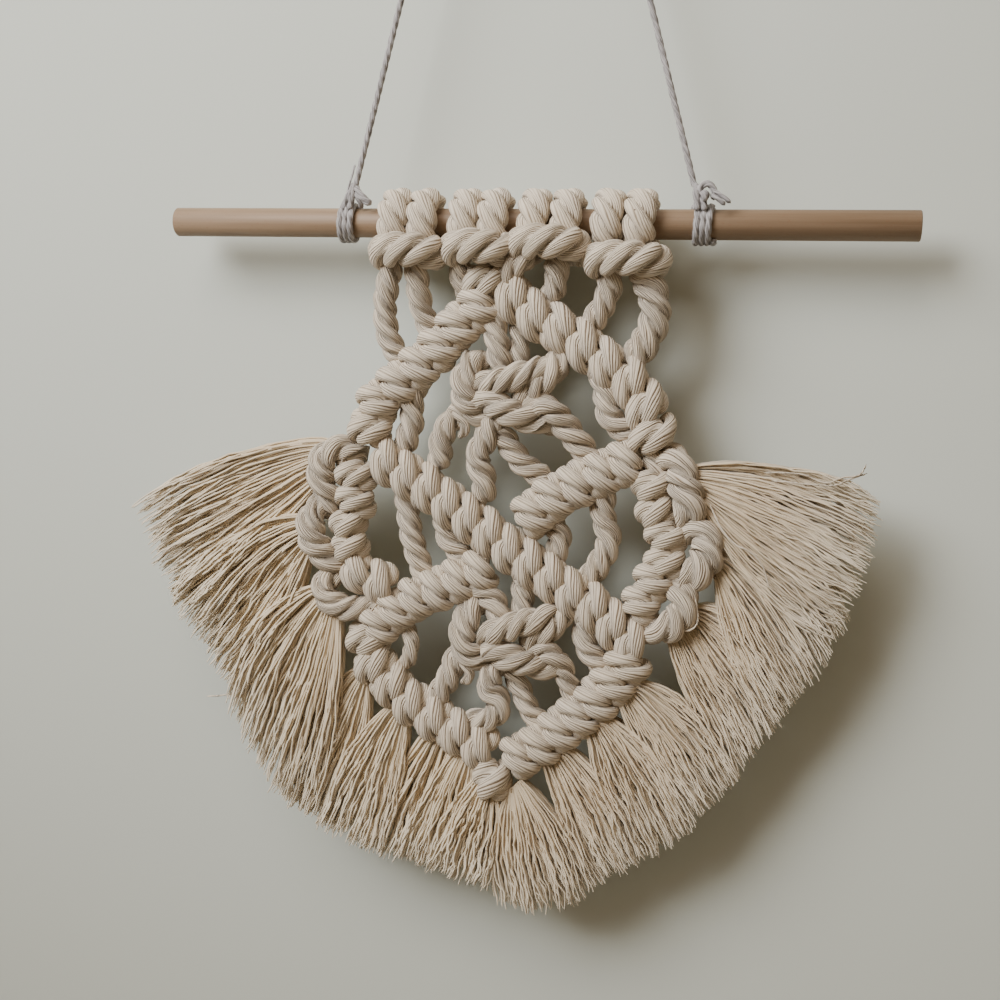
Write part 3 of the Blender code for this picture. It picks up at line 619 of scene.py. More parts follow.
def wraps(path, count, half_width, slant):
    """The tight turns of one bar over its carrier, each nearly closed behind."""
    points = [place(x, z, SHEET_DEPTH) for x, z in path]
    length = sum((after - before).length for before, after in zip(points, points[1:])) / MM
    widening = length / count / (2 * WRAP_RADIUS) * WRAP_WIDENING
    reach = (half_width - WRAP_RADIUS) * MM
    through = (BAR_HALF_DEPTH - WRAP_RADIUS) * MM
    made = []
    for number in range(count):
        centre, along = along_path(points, (number + 0.5) / count)
        outward = Vector((along.z, 0, -along.x))
        wrap = []
        for angle in range(-WRAP_END, WRAP_END + 1, WRAP_STEP):
            turned = math.radians(angle)
            ring = outward * reach * math.sin(turned) + FRONT * through * math.cos(turned)
            wrap.append(centre + ring + along * slant * MM * angle / WRAP_END)
        turn = WRAP_TURN + WRAP_TURN_SWING * math.sin(WRAP_TURN_STEP * number)
        made.append(Run(wrap, along, WRAP_RADIUS, widening, WRAP_GROOVE, WRAP_LAY, turn, WRAP_LINES))
    return made


bar_runs = []
for count, half_width, slant, path in BARS:
    bar_runs += wraps(path, count, half_width, slant)
cord_piece("hitched_bars", bar_runs, cord_tree, cotton, "cotton_cord")

# ---------------------------------------------------------------------------------------------------------
# Free strands: the cotton cord where it runs from knot to knot without a carrier. They are the tails of
# the lark's heads, the two square knots in the middle of the diamonds with their legs, and the outer loops
# of the wings; their ends go into the hitches.
# ---------------------------------------------------------------------------------------------------------
STRANDS = (
    # (radius, thickness over width, ((x, z, depth), ...))
    # tails of the lark's heads, left to right
    (3.5, 0.95, ((-35.5, -10.0, 7.0), (-37.5, -19.0, 6.5), (-38.0, -26.0, 5.5), (-36.5, -33.0, 5.0),
                 (-32.5, -39.0, 4.0))),
    (3.5, 0.95, ((-29.5, -10.0, 7.0), (-28.5, -19.0, 6.5), (-27.0, -26.0, 5.0), (-23.5, -32.0, 4.0))),
    (3.5, 0.95, ((-16.5, -9.0, 7.0), (-17.0, -15.0, 4.5), (-15.0, -20.5, 3.0))),
    (3.5, 0.95, ((-9.0, -9.0, 6.0), (-9.0, -17.0, 3.0), (-7.5, -26.0, 5.0), (-6.0, -34.0, 5.5),
                 (-5.0, -41.0, 4.0))),
    (3.6, 0.95, ((3.0, -8.5, 7.0), (-2.0, -12.5, 8.0), (-7.0, -17.5, 5.0))),
    (3.5, 0.95, ((8.5, -8.5, 7.0), (9.5, -15.0, 6.0), (7.0, -22.0, 4.0))),
    (3.6, 0.95, ((24.0, -11.0, 7.0), (23.5, -18.5, 6.0), (21.0, -24.0, 5.0), (17.5, -29.0, 4.0))),
    (4.4, 0.8, ((30.5, -11.5, 7.0), (35.0, -18.0, 7.0), (36.0, -25.5, 6.0), (33.5, -32.0, 5.0),
                (29.0, -38.0, 4.0))),
    # behind the strand to the upper square knot
    (3.0, 0.95, ((-1.0, -25.0, 2.5), (-0.5, -32.5, 3.0), (-0.5, -40.0, 3.0))),
    # upper square knot
    (4.2, 0.85, ((-9.5, -35.0, 3.0), (-13.0, -39.0, 6.5), (-14.5, -44.5, 8.0), (-12.5, -50.0, 7.5),
                 (-7.5, -53.0, 5.0))),
    (4.0, 0.9, ((-12.0, -45.0, 5.5), (-6.5, -43.5, 9.0), (0.0, -41.8, 9.5), (5.0, -40.0, 8.0),
                (9.5, -39.0, 5.5), (12.5, -38.5, 3.5))),
    (3.8, 0.95, ((-0.5, -48.5, 5.0), (4.5, -45.0, 7.5), (9.0, -40.5, 7.0), (12.0, -34.0, 3.5))),
    (4.2, 0.9, ((-12.0, -47.0, 5.5), (-6.0, -49.2, 9.0), (0.0, -51.8, 9.5), (5.0, -53.2, 7.5),
                (9.0, -53.5, 5.0), (12.0, -53.5, 3.0))),
    (3.9, 0.95, ((1.5, -50.0, 6.0), (8.0, -49.5, 8.0), (13.0, -54.0, 6.5), (17.5, -59.5, 5.0),
                 (21.5, -65.0, 3.0))),
    # its legs
    (3.7, 0.95, ((-5.5, -52.0, 7.0), (-8.0, -58.0, 6.5), (-10.5, -64.0, 6.0), (-8.5, -70.5, 5.0),
                 (-9.5, -76.0, 3.5))),
    (3.5, 0.95, ((-6.0, -54.5, 5.0), (-1.5, -61.0, 5.0), (2.5, -65.5, 5.0), (9.5, -69.5, 4.0))),
    (3.6, 0.95, ((-12.0, -49.5, 3.0), (-17.5, -53.0, 4.5), (-21.0, -59.0, 4.5), (-21.5, -68.0, 4.0))),
    # plies that have sprung out of the left legs of both square knots
    (1.5, 0.8, ((-18.5, -50.5, 6.0), (-16.0, -52.5, 7.5), (-14.2, -54.5, 7.5), (-14.0, -56.5, 7.0),
                (-15.6, -58.5, 5.5))),
    (1.5, 0.8, ((-14.5, -117.5, 6.0), (-12.2, -120.0, 7.5), (-10.6, -122.5, 7.5), (-10.6, -124.5, 7.0),
                (-12.6, -126.5, 5.5))),
    # inside the left and right corners of the upper diamond
    (3.6, 0.95, ((-28.0, -42.0, 3.0), (-30.0, -49.0, 4.0), (-30.0, -55.5, 4.0), (-33.0, -64.0, 3.0))),
    (3.7, 0.95, ((21.5, -38.0, 3.0), (23.5, -45.0, 4.5), (25.5, -52.0, 5.0), (32.0, -56.5, 4.0))),
    # beside the crossing
    (3.5, 0.95, ((-32.0, -71.0, 3.0), (-30.5, -79.0, 3.5), (-29.0, -87.0, 3.5), (-26.0, -95.0, 3.5),
                 (-22.5, -101.0, 3.0))),
    (3.5, 0.95, ((-20.5, -79.0, 2.5), (-18.5, -87.0, 3.0), (-12.5, -93.0, 3.0))),
    (3.6, 0.95, ((25.0, -67.0, 3.0), (24.0, -77.0, 3.5), (26.0, -84.5, 3.5), (23.5, -91.5, 3.5),
                 (18.5, -99.0, 3.0))),
    (3.5, 0.95, ((7.5, -77.0, 2.5), (12.5, -85.0, 3.0), (9.5, -93.0, 2.5))),
    # down to the lower square knot
    (3.7, 0.95, ((-13.0, -96.5, 3.5), (-8.0, -100.0, 5.5), (-4.0, -104.0, 6.0), (-2.0, -110.0, 5.0))),
    (3.4, 0.95, ((2.5, -93.5, 3.0), (3.0, -101.0, 3.5), (3.0, -110.0, 3.0))),
    # lower square knot
    (4.2, 0.85, ((-7.5, -101.0, 3.0), (-11.5, -106.5, 6.0), (-12.5, -112.0, 8.0), (-11.0, -117.0, 7.5),
                 (-5.0, -121.0, 5.0))),
    (4.0, 0.9, ((-8.5, -113.0, 5.5), (-2.0, -110.5, 9.0), (4.0, -108.0, 9.5), (9.0, -106.5, 8.0),
                (13.0, -106.0, 5.5), (16.0, -105.5, 3.5))),
    (3.7, 0.95, ((3.0, -115.0, 5.0), (9.0, -111.0, 7.5), (13.0, -108.0, 6.5), (16.0, -102.0, 3.0))),
    (4.2, 0.9, ((-8.5, -115.5, 5.5), (-1.5, -117.0, 9.0), (4.5, -118.5, 9.0), (9.5, -119.5, 7.0),
                (13.5, -119.5, 4.5), (16.0, -119.5, 3.0))),
    (3.2, 0.95, ((4.0, -115.0, 6.0), (11.0, -115.5, 8.0), (15.0, -119.5, 6.5), (17.0, -125.0, 5.0),
                 (20.5, -131.0, 3.0))),
    # its legs
    (3.7, 0.95, ((-2.5, -119.5, 7.0), (-5.0, -126.0, 6.5), (-2.0, -131.0, 6.5), (-4.5, -135.5, 6.0),
                 (-12.0, -137.5, 4.0))),
    (3.2, 0.95, ((-0.5, -120.0, 4.0), (3.5, -127.0, 4.5), (6.5, -133.0, 4.5), (12.5, -138.5, 4.0))),
    (3.6, 0.95, ((-11.5, -113.5, 3.0), (-15.0, -119.5, 4.5), (-17.0, -125.5, 5.0), (-22.0, -134.0, 4.0))),
    # inside the left and right corners of the lower diamond
    (2.4, 0.95, ((-30.5, -110.0, 3.0), (-28.0, -115.0, 5.0), (-28.0, -119.5, 5.5), (-30.5, -124.0, 3.5))),
    (3.5, 0.95, ((20.5, -104.0, 3.0), (21.0, -113.5, 4.5), (28.0, -121.0, 4.0))),
    # outer loops of the left wing
    (4.3, 0.8, ((-43.0, -66.5, 2.0), (-47.5, -63.5, 5.0), (-51.5, -63.5, 6.5), (-54.5, -66.5, 7.5),
                (-54.5, -71.5, 7.5), (-52.5, -77.0, 5.5), (-52.0, -81.0, 2.5))),
    (4.4, 0.8, ((-50.5, -79.0, 2.5), (-55.0, -79.5, 5.5), (-57.5, -83.5, 7.0), (-56.5, -89.0, 7.5),
                (-52.5, -93.5, 6.5), (-48.0, -96.5, 2.5))),
    (4.0, 0.85, ((-48.5, -97.0, 2.5), (-52.0, -99.0, 5.5), (-53.0, -103.0, 7.0), (-49.5, -106.5, 7.5),
                 (-43.0, -107.5, 6.5), (-36.5, -105.5, 2.5))),
    # outer loops of the right wing, and the strand that leads to it
    (3.2, 0.95, ((34.0, -58.0, 3.0), (37.5, -63.5, 4.5), (39.0, -69.0, 4.0))),
    (4.8, 0.8, ((40.0, -61.0, 2.5), (43.5, -63.5, 6.5), (46.0, -69.5, 8.0), (47.5, -75.0, 7.5),
                (43.5, -80.0, 2.5))),
    (4.8, 0.8, ((43.5, -81.0, 2.5), (49.5, -80.5, 6.0), (52.5, -85.5, 8.0), (50.5, -91.5, 7.5),
                (43.5, -95.5, 2.5))),
    (4.4, 0.85, ((41.5, -95.0, 2.5), (46.0, -97.0, 6.5), (46.5, -102.5, 8.0), (42.0, -107.5, 7.5),
                 (34.0, -107.0, 2.5))),
)
STRAND_GROOVE = 0.45
STRAND_LAY = 15.0
STRAND_TURN_STEP = 50
STRAND_LINES = 1.0

strand_runs = []
for number, (radius, thickness, row) in enumerate(STRANDS):
    points = [place(*point) for point in row]
    strand_runs.append(Run(points, FRONT, radius, thickness, STRAND_GROOVE, STRAND_LAY,
                           STRAND_TURN_STEP * number, STRAND_LINES))
strands = cord_piece("free_strands", strand_runs, cord_tree, cotton, "cotton_cord")
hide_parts("knotwork")

# ---------------------------------------------------------------------------------------------------------
# Fringe: the last 25 to 55 mm of the cotton cords past their last hitches, unlaid, combed out into single
# yarns and trimmed to an arc. It hangs in fifteen bunches, one for each place where cords end, and a few
# yarns have sprung out of them.
# ---------------------------------------------------------------------------------------------------------
FRINGE = (
    # (name, root_start, root_end, tip_start, tip_end, bulge, lift, depth, yarns)
    ("left_wing_1", (-53.0, -60.0), (-55.5, -75.0), (-109.0, -80.0), (-95.0, -110.5), 0.5, 2.0, 5.5, 280),
    ("left_wing_2", (-56.0, -83.0), (-56.0, -93.0), (-98.0, -105.5), (-75.5, -134.0), 1.5, 4.5, 6.5, 280),
    ("left_wing_3", (-54.0, -101.5), (-47.5, -109.0), (-81.5, -132.5), (-53.5, -166.0), 4.5, 3.5, 7.0, 280),
    ("left_edge_1", (-44.5, -124.5), (-39.0, -130.0), (-68.0, -159.0), (-46.0, -170.0), 1.0, 2.0, 5.0, 210),
    ("left_edge_2", (-33.5, -134.0), (-27.5, -139.0), (-53.0, -168.0), (-33.0, -174.0), 1.5, 2.0, 6.0, 200),
    ("left_edge_3", (-23.0, -140.5), (-14.5, -144.5), (-40.0, -172.0), (-22.5, -176.5), 1.5, 1.5, 5.0, 190),
    ("left_edge_4", (-14.5, -144.5), (-8.5, -148.5), (-29.5, -174.5), (-13.0, -178.5), 1.0, 1.0, 6.0, 180),
    ("bottom_1", (-8.5, -152.0), (-1.0, -157.0), (-21.0, -176.0), (-2.5, -181.5), 1.0, 0.5, 6.5, 220),
    ("bottom_2", (0.0, -155.5), (6.0, -151.5), (-1.0, -185.0), (25.0, -179.0), 4.0, 0.5, 6.5, 250),
    ("right_edge_1", (10.0, -148.0), (18.5, -142.0), (24.0, -178.5), (40.0, -167.5), 1.0, 1.5, 6.0, 200),
    ("right_edge_2", (21.5, -138.0), (28.0, -132.5), (34.5, -171.0), (52.0, -158.5), 1.0, 2.5, 6.5, 210),
    ("right_edge_3", (29.0, -129.0), (35.5, -122.5), (48.0, -160.5), (63.0, -143.0), 1.0, 3.0, 6.0, 210),
    ("right_wing_3", (41.0, -109.5), (49.5, -101.5), (59.5, -147.5), (77.5, -121.0), 0.5, 4.0, 5.0, 240),
    ("right_wing_2", (53.5, -95.0), (54.0, -83.5), (69.5, -133.0), (89.0, -100.0), 1.0, 5.0, 6.0, 270),
    ("right_wing_1", (49.5, -75.5), (47.5, -62.5), (83.0, -107.0), (94.0, -69.5), 3.0, 0.5, 7.0, 290),
)
ROOT_BEHIND = 2.0
SEED_STEP = 17
# the longest yarns' length as a share of the way to the tips, and how rare short ones are
LONGEST = 1.04
SHORT_RARITY = 2.2
# the share of the way by which a yarn has come all the way aside, and how far layers shift the locks
SPLAY_END = 1.05
LOCK_SHIFT = 2.0
# these bring the crown of the bulge and the crest of the lift to the heights that are given for them
BULGE_CROWN = 4.0
LIFT_CREST = 2.6
# bends, gathers and crimp: drifts that neighbours share
DRIFTS = (
    # (changes across the bunch, along it, through its layers, strength)
    (5.0, 1.8, 1.1, 5.0),
    (16.0, 3.6, 2.4, 1.2),
    (70.0, 9.0, 4.0, 2.6),
)
# a yarn's thickness at its root, and how much of it is lost at the tip and how suddenly
ROOT_FULLNESS = 1.05
TIP_LOSS = 0.6
TIP_SUDDENNESS = 9.0
STRAYS = (
    # single yarns that have sprung out of the bunches, as ((x, z, depth), ...)
    ((66.0, -64.5, 7.0), (75.5, -64.5, 9.0), (81.5, -66.5, 9.5), (85.5, -65.0, 10.0), (90.0, -64.0, 10.0),
     (91.5, -61.0, 9.5)),
    ((68.0, -66.5, 8.0), (78.0, -67.0, 10.0), (84.0, -67.0, 10.0), (87.0, -65.5, 10.0), (92.0, -63.5, 9.5)),
    ((52.5, -73.0, 8.0), (56.0, -79.5, 10.0), (60.0, -83.5, 10.5), (63.5, -85.0, 11.0), (67.0, -88.5, 11.0),
     (69.0, -95.0, 10.0)),
    ((50.0, -98.0, 8.5), (51.0, -104.5, 9.5), (48.5, -107.0, 9.5), (46.0, -107.0, 8.0)),
    ((-88.0, -88.0, 7.0), (-98.5, -93.0, 9.0), (-102.0, -96.5, 9.0), (-105.5, -98.5, 8.0)),
    ((-68.0, -126.0, 7.0), (-76.0, -132.5, 9.0), (-82.0, -134.5, 9.0), (-87.5, -135.5, 8.0)),
)
STRAY_RADIUS = 0.27
STRAY_GROOVE = 0.1
STRAY_LAY = 5.0
STRAY_LINES = 0.3


def fringe_tree():
    """Geometry Nodes: yarns that splay from a narrow root to a row of tips, gathered here and there."""
    tree, given, add = new_tree("combed_fringe", (
        ("Geometry", "Geometry", None), ("Root Start", "Vector", None), ("Root End", "Vector", None),
        ("Tip Start", "Vector", None), ("Tip End", "Vector", None), ("Bulge", "Float", None),
        ("Lift", "Float", None), ("Yarns", "Int", None), ("Points", "Int", 18), ("Splay", "Float", 2.3),
        ("Root Depth", "Float", 2.0 * MM), ("Tip Depth", "Float", 3.2 * MM),
        ("Yarn Radius", "Float", 0.34 * MM), ("Waviness", "Float", 1.0 * MM), ("Locks", "Float", 11.0),
        ("Gathering", "Float", 0.5), ("Ragged", "Float", 0.17), ("Seed", "Int", None),
        ("Material", "Material", None)))
    # what sets a yarn apart: its place in the row, its layer, its length and its shade
    drawn = {}
    for name, lowest, salt in (("yarn_share", 0.0, 1), ("yarn_layer", -1.0, 2), ("yarn_length", 0.0, 3),
                               ("tint", 0.0, 5)):
        seed = add(MATH, (given["Seed"], salt), operation="ADD")
        drawn[name] = add("FunctionNodeRandomValue", {"Min": lowest, "Max": 1.0, "Seed": seed})
    index = add("GeometryNodeInputIndex")
    spaced = add(MATH, (index, drawn["yarn_share"]), operation="ADD")
    drawn["yarn_share"] = add(MATH, (spaced, given["Yarns"]), operation="DIVIDE")
    yarns = add("GeometryNodeMeshLine", {"Count": given["Yarns"]})
    for name, value in drawn.items():
        yarns = add("GeometryNodeStoreNamedAttribute", {"Geometry": yarns, "Name": name, "Value": value},
                    data_type="FLOAT", domain="POINT")
    side, layer, shortness = (add("GeometryNodeInputNamedAttribute", {"Name": name}, data_type="FLOAT")
                              for name in ("yarn_share", "yarn_layer", "yarn_length"))
    line = add("GeometryNodeCurvePrimitiveLine")
    straight = add("GeometryNodeResampleCurve", {"Curve": line, "Count": given["Points"]}, mode="COUNT")
    curves = add("GeometryNodeInstanceOnPoints", {"Points": yarns, "Instance": straight})
    curves = add("GeometryNodeRealizeInstances", {"Geometry": curves})
    # how far a yarn has come on its way to its tip: most are nearly full length, and a few are short
    t = add("GeometryNodeSplineParameter", output="Factor")
    shortness = add(MATH, (shortness, SHORT_RARITY), operation="POWER")
    shortness = add(MATH, (shortness, given["Ragged"]), operation="MULTIPLY")
    length = add(MATH, (LONGEST, shortness), operation="SUBTRACT")
    reach = add(MATH, (t, length), operation="MULTIPLY")
    # and how far it has come aside, which it does early
    to_go = add(MATH, (SPLAY_END, reach), operation="SUBTRACT")
    to_go = add(MATH, (to_go, given["Splay"]), operation="POWER")
    early = add(MATH, (1.0, to_go), operation="SUBTRACT")
    # towards the tips the yarns draw together into locks
    locks = add(MATH, (given["Locks"], math.tau), operation="MULTIPLY")
    shift = add(MATH, (layer, LOCK_SHIFT), operation="MULTIPLY")
    phase = add(MATH, (side, locks, shift), operation="MULTIPLY_ADD")
    swing = add(MATH, (phase,), operation="SINE")
    pull = add(MATH, (swing, t), operation="MULTIPLY")
    pull = add(MATH, (pull, given["Locks"]), operation="DIVIDE")
    strength = add(MATH, (given["Gathering"], math.tau), operation="DIVIDE")
    pull = add(MATH, (pull, strength), operation="MULTIPLY")
    tip_share = add(MATH, (side, pull), operation="SUBTRACT")
    # the straight way from root to tip, split into the bunch's own direction and the way aside
    root, tip, middle_root, middle_tip = (
        add("ShaderNodeMix", (share, given[end + " Start"], given[end + " End"]), data_type="VECTOR")
        for end, share in (("Root", side), ("Tip", tip_share), ("Root", 0.5), ("Tip", 0.5)))
    main = add(VECTOR_MATH, (middle_tip, middle_root), operation="SUBTRACT")
    aside = add(VECTOR_MATH, (tip, root), operation="SUBTRACT")
    aside = add(VECTOR_MATH, (aside, main), operation="SUBTRACT")
    onward = add(VECTOR_MATH, (main, reach), operation="SCALE")
    outward = add(VECTOR_MATH, (aside, early), operation="SCALE")
    # the middle of the bunch reaches further than its two sides
    other_side = add(MATH, (1.0, side), operation="SUBTRACT")
    arch = add(MATH, (side, other_side), operation="MULTIPLY")
    bulge = add(MATH, (given["Bulge"], BULGE_CROWN), operation="MULTIPLY")
    bulge = add(MATH, (bulge, reach), operation="MULTIPLY")
    swell = add(MATH, (arch, bulge), operation="MULTIPLY")
    ahead = add(VECTOR_MATH, (main,), operation="NORMALIZE")
    bulged = add(VECTOR_MATH, (ahead, swell), operation="SCALE")
    # the bunch is thicker towards its tips; it leaves its knot level, and then falls
    thickness = add("ShaderNodeMix", (early, given["Root Depth"], given["Tip Depth"]))
    layered = add(MATH, (layer, thickness), operation="MULTIPLY")
    start = add(MATH, (t, 0.5), operation="POWER")
    rest = add(MATH, (1.0, t), operation="SUBTRACT")
    arc = add(MATH, (start, rest), operation="MULTIPLY")
    lift = add(MATH, (given["Lift"], LIFT_CREST), operation="MULTIPLY")
    raised = add(MATH, (arc, lift), operation="MULTIPLY")
    raised = add("ShaderNodeCombineXYZ", {"Y": layered, "Z": raised})
    spot = root
    for step in (onward, outward, bulged, raised):
        spot = add(VECTOR_MATH, (spot, step), operation="ADD")
    for across, along, deep, strength in DRIFTS:
        x = add(MATH, (side, across), operation="MULTIPLY")
        y = add(MATH, (t, along), operation="MULTIPLY")
        z = add(MATH, (layer, deep, given["Seed"]), operation="MULTIPLY_ADD")
        where = add("ShaderNodeCombineXYZ", (x, y, z))
        cloud = add("ShaderNodeTexNoise", {"Vector": where, "Scale": 1.0, "Detail": 1.0}, "Color")
        drift = add(VECTOR_MATH, (cloud, (0.5, 0.5, 0.5)), operation="SUBTRACT")
        width = add(MATH, (given["Waviness"], strength), operation="MULTIPLY")
        width = add(MATH, (early, width), operation="MULTIPLY")
        drift = add(VECTOR_MATH, (drift, width), operation="SCALE")
        spot = add(VECTOR_MATH, (spot, drift), operation="ADD")
    curves = add("GeometryNodeSetPosition", {"Geometry": curves, "Position": spot})
    curves = add("GeometryNodeStoreNamedAttribute", {"Geometry": curves, "Name": "along", "Value": t},
                 data_type="FLOAT", domain="POINT")
    # three-sided yarns, which thin at their tips
    thinning = add(MATH, (t, TIP_SUDDENNESS), operation="POWER")
    thinning = add(MATH, (thinning, TIP_LOSS), operation="MULTIPLY")
    fullness = add(MATH, (ROOT_FULLNESS, thinning), operation="SUBTRACT")
    radius = add(MATH, (given["Yarn Radius"], fullness), operation="MULTIPLY")
    three = add("GeometryNodeCurvePrimitiveCircle", {"Resolution": 3, "Radius": 1.0})
    mesh = add("GeometryNodeCurveToMesh", {"Curve": curves, "Profile Curve": three, "Scale": radius,
                                           "Fill Caps": True})
    end_tree(add, mesh, "yarn_*", given["Material"])
    return tree


def combed_yarn():
    """Combed-out cotton yarn: creamier than the cord, each with its own shade and a paler, frayed tip."""
    material, add = new_material("combed_cotton_yarn")
    spot = add("ShaderNodeTexCoord", output="Object")
    tint = add("ShaderNodeAttribute", output="Fac", attribute_name="tint")
    toned = add("ShaderNodeMix", (tint, linear("D4C1A5"), linear("E6D5BA")), data_type="RGBA")
    # darker patches, 2.5 mm across
    patches = add("ShaderNodeTexNoise", {"Vector": spot, "Scale": 1 / (2.5 * MM), "Detail": 3.0})
    patches = add("ShaderNodeMapRange", {"Value": patches, "To Max": 0.5})
    toned = add("ShaderNodeMix", (patches, toned, linear("D8C6A8")), data_type="RGBA")
    along = add("ShaderNodeAttribute", output="Fac", attribute_name="along")
    frayed = add("ShaderNodeMapRange", {"Value": along, "From Min": 0.45, "To Max": 0.7})
    toned = add("ShaderNodeMix", (frayed, toned, linear("E9DFCC")), data_type="RGBA")
    surface = add("ShaderNodeBsdfPrincipled", {
        "Base Color": toned, "Roughness": 0.85, "Sheen Weight": 0.2, "Specular IOR Level": 0.25})
    add("ShaderNodeOutputMaterial", {"Surface": surface})
    return material


combed = combed_yarn()
yarn_tree = fringe_tree()
for number, (name, root_start, root_end, tip_start, tip_end, bulge, lift, depth, count) in enumerate(FRINGE):
    guide = bpy.data.meshes.new(name + "_root")
    guide.from_pydata([place(*root_start, depth)], [], [])
    bunch = through_nodes("fringe_yarns_" + name, guide, yarn_tree, {
        "Root Start": place(*root_start, depth - ROOT_BEHIND), "Tip Start": place(*tip_start, depth),
        "Root End": place(*root_end, depth - ROOT_BEHIND), "Tip End": place(*tip_end, depth),
        "Bulge": bulge * MM, "Lift": lift * MM, "Yarns": count, "Seed": SEED_STEP * number,
        "Material": combed})
    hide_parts("fringe_" + name)
stray_runs = []
for row in STRAYS:
    points = [place(*point) for point in row]
    stray_runs.append(Run(points, FRONT, STRAY_RADIUS, 1.0, STRAY_GROOVE, STRAY_LAY, 0, STRAY_LINES))
cord_piece("stray_yarns", stray_runs, cord_tree, cotton, "fringe_yarn",
           **{"Ring Spacing": 1.2 * MM, "Sides": 6})

# ---------------------------------------------------------------------------------------------------------
# Hanging twine: thin grey cotton twine, 1.8 mm thick, in three plies. It is hitched round the dowel at both
# ends with a few tight turns and a knot, its free ends stand off, and it is led over the nail.
# ---------------------------------------------------------------------------------------------------------
TWINE_RADIUS = 0.9
TWINE_GROOVE = 0.4
TWINE_LAY = 9.0
TWINE_LINES = 1.0
TIGHTNESS = 0.9
COIL_RADIUS = TIGHTNESS * TWINE_RADIUS
COIL_WIDENING = 1.2
COIL_STEPS = 12
FOOT_DEPTH = 3.5
LEG_SHARES = (0.0, 0.3, 0.6, 0.9, 0.98)
NAIL_RADIUS = 1.5
NAIL_TURNS = (-1.2, -0.6, 0.0, 0.6, 1.2)
HITCHES = (
    # (x, turns, pitch, foot_x, foot_z): the coil round the dowel, and the foot of the leg above it
    (-53.2, 3.2, 1.45, -48.3, 9.2),
    (44.6, 3.6, 1.55, 44.8, 9.0),
)
TWINE_KNOTS = (
    # (radius, ((x, z, depth), ...)): first the left knot with its tail, then the right one with two ends
    (0.95, ((-48.2, 10.6, 3.5), (-49.4, 7.6, 4.5), (-51.2, 4.6, 3.5), (-51.8, 2.8, 3.9))),
    (0.95, ((-48.2, 10.6, 3.2), (-48.6, 7.6, 4.6), (-49.2, 4.8, 4.2), (-49.6, 2.8, 4.6))),
    (1.15, ((-48.4, 9.8, 3.0), (-47.2, 8.0, 4.6), (-45.6, 6.2, 5.2), (-43.0, 4.2, 5.0))),
    (0.8, ((-48.0, 9.0, 3.6), (-47.4, 6.6, 4.6), (-46.4, 4.9, 4.2), (-46.6, 3.6, 3.0))),
    (0.32, ((-48.6, 15.6, 3.2), (-49.2, 12.6, 3.6), (-49.9, 9.4, 4.2), (-50.6, 6.0, 4.4))),
    (1.0, ((44.9, 10.6, 3.5), (45.3, 7.6, 4.8), (45.6, 5.0, 4.6), (45.6, 2.8, 4.9))),
    (0.95, ((45.4, 10.0, 3.0), (46.6, 7.0, 4.4), (47.4, 4.8, 4.6), (47.8, 2.8, 4.9))),
    (1.0, ((45.8, 6.2, 4.4), (46.4, 9.0, 5.0), (48.2, 9.8, 5.2), (49.8, 8.4, 5.2), (49.9, 5.6, 4.6))),
    (1.25, ((46.9, 8.2, 5.2), (47.7, 7.0, 6.2), (48.0, 5.2, 5.6))),
    (0.62, ((48.8, 8.6, 5.0), (50.8, 7.4, 5.8), (52.6, 6.2, 6.0), (54.4, 4.7, 5.8))),
    (0.68, ((49.0, 7.2, 5.6), (50.4, 6.2, 6.4), (51.8, 5.2, 6.6), (53.0, 4.1, 6.2))),
)


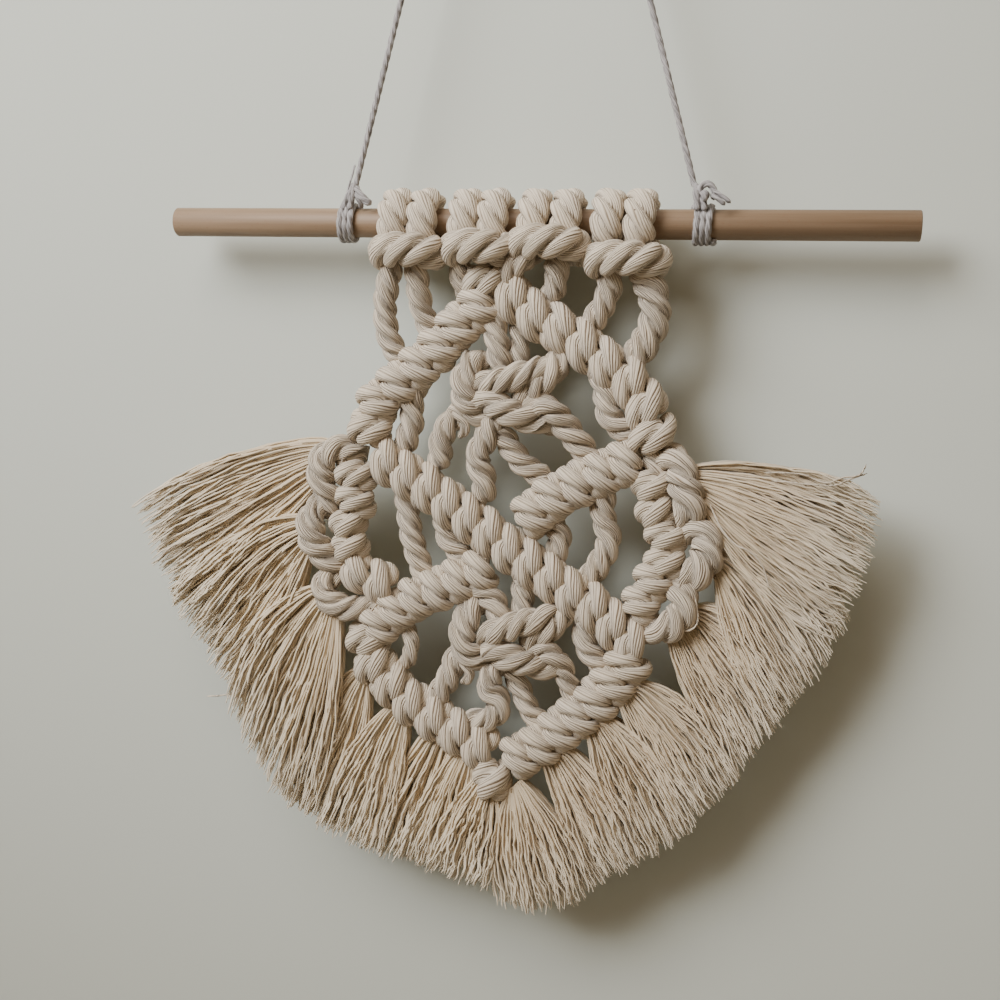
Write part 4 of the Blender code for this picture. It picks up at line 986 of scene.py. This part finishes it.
def grey_cotton_twine():
    """Thin twine of dyed grey cotton: matt, with painted shade darkening the lines between its yarns."""
    material, add = new_material("grey_cotton_twine")
    run = add("ShaderNodeUVMap", uv_map="UVMap")
    # yarns 0.3 mm apart, whose shade changes every 6 mm
    space = add("ShaderNodeMapping", {"Vector": run, "Scale": (1 / (0.3 * MM), 1 / (6.0 * MM), 1.0)})
    yarns = add("ShaderNodeTexNoise", {"Vector": space, "Scale": 1.0, "Detail": 2.0}, noise_dimensions="2D")
    streak = add("ShaderNodeMapRange", {"Value": yarns, "From Min": 0.35, "From Max": 0.62})
    # the low places between the yarns are painted a darker grey: painted shade in the crevices
    base = add("ShaderNodeMix", (streak, linear("7C7878"), linear("C0BBBA")), data_type="RGBA")
    bump = add("ShaderNodeBump", {"Height": yarns, "Strength": 0.8, "Distance": 0.3 * MM})
    surface = add("ShaderNodeBsdfPrincipled", {
        "Base Color": base, "Roughness": 0.9, "Normal": bump, "Sheen Weight": 0.2})
    add("ShaderNodeOutputMaterial", {"Surface": surface})
    return material


nail_reach = NAIL_RADIUS + TWINE_RADIUS
over_nail = [Vector((nail_reach * MM * math.sin(turn), 0, (nail_reach * math.cos(turn) - NAIL_RADIUS) * MM))
             for turn in NAIL_TURNS]
feet = [place(foot_x, foot_z, FOOT_DEPTH) for _, _, _, foot_x, foot_z in HITCHES]
legs = [feet[0].lerp(over_nail[0], share) for share in LEG_SHARES] + over_nail
legs += [feet[1].lerp(over_nail[-1], share) for share in reversed(LEG_SHARES)]
twine_runs = [Run(legs, FRONT, TWINE_RADIUS, 1.0, TWINE_GROOVE, TWINE_LAY, 0, TWINE_LINES)]
for x, turns, pitch, _, _ in HITCHES:
    coil = [around_dowel(x + pitch * step / COIL_STEPS, DOWEL_RADIUS / MM + COIL_RADIUS,
                         90 + 360 / COIL_STEPS * step) for step in range(int(COIL_STEPS * turns) + 1)]
    twine_runs.append(Run(coil, Vector((1, 0, 0)), COIL_RADIUS, COIL_WIDENING, TWINE_GROOVE, TWINE_LAY, 0,
                          TWINE_LINES))
for radius, row in TWINE_KNOTS:
    points = [place(*point) for point in row]
    twine_runs.append(Run(points, FRONT, radius, 1.0, TWINE_GROOVE, TWINE_LAY, 0, TWINE_LINES))
twine = cord_piece("grey_twine", twine_runs, cord_tree, grey_cotton_twine(), "grey_twine",
                   **{"Ring Spacing": 0.6 * MM, "Sides": 12})
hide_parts("hanging_twine")
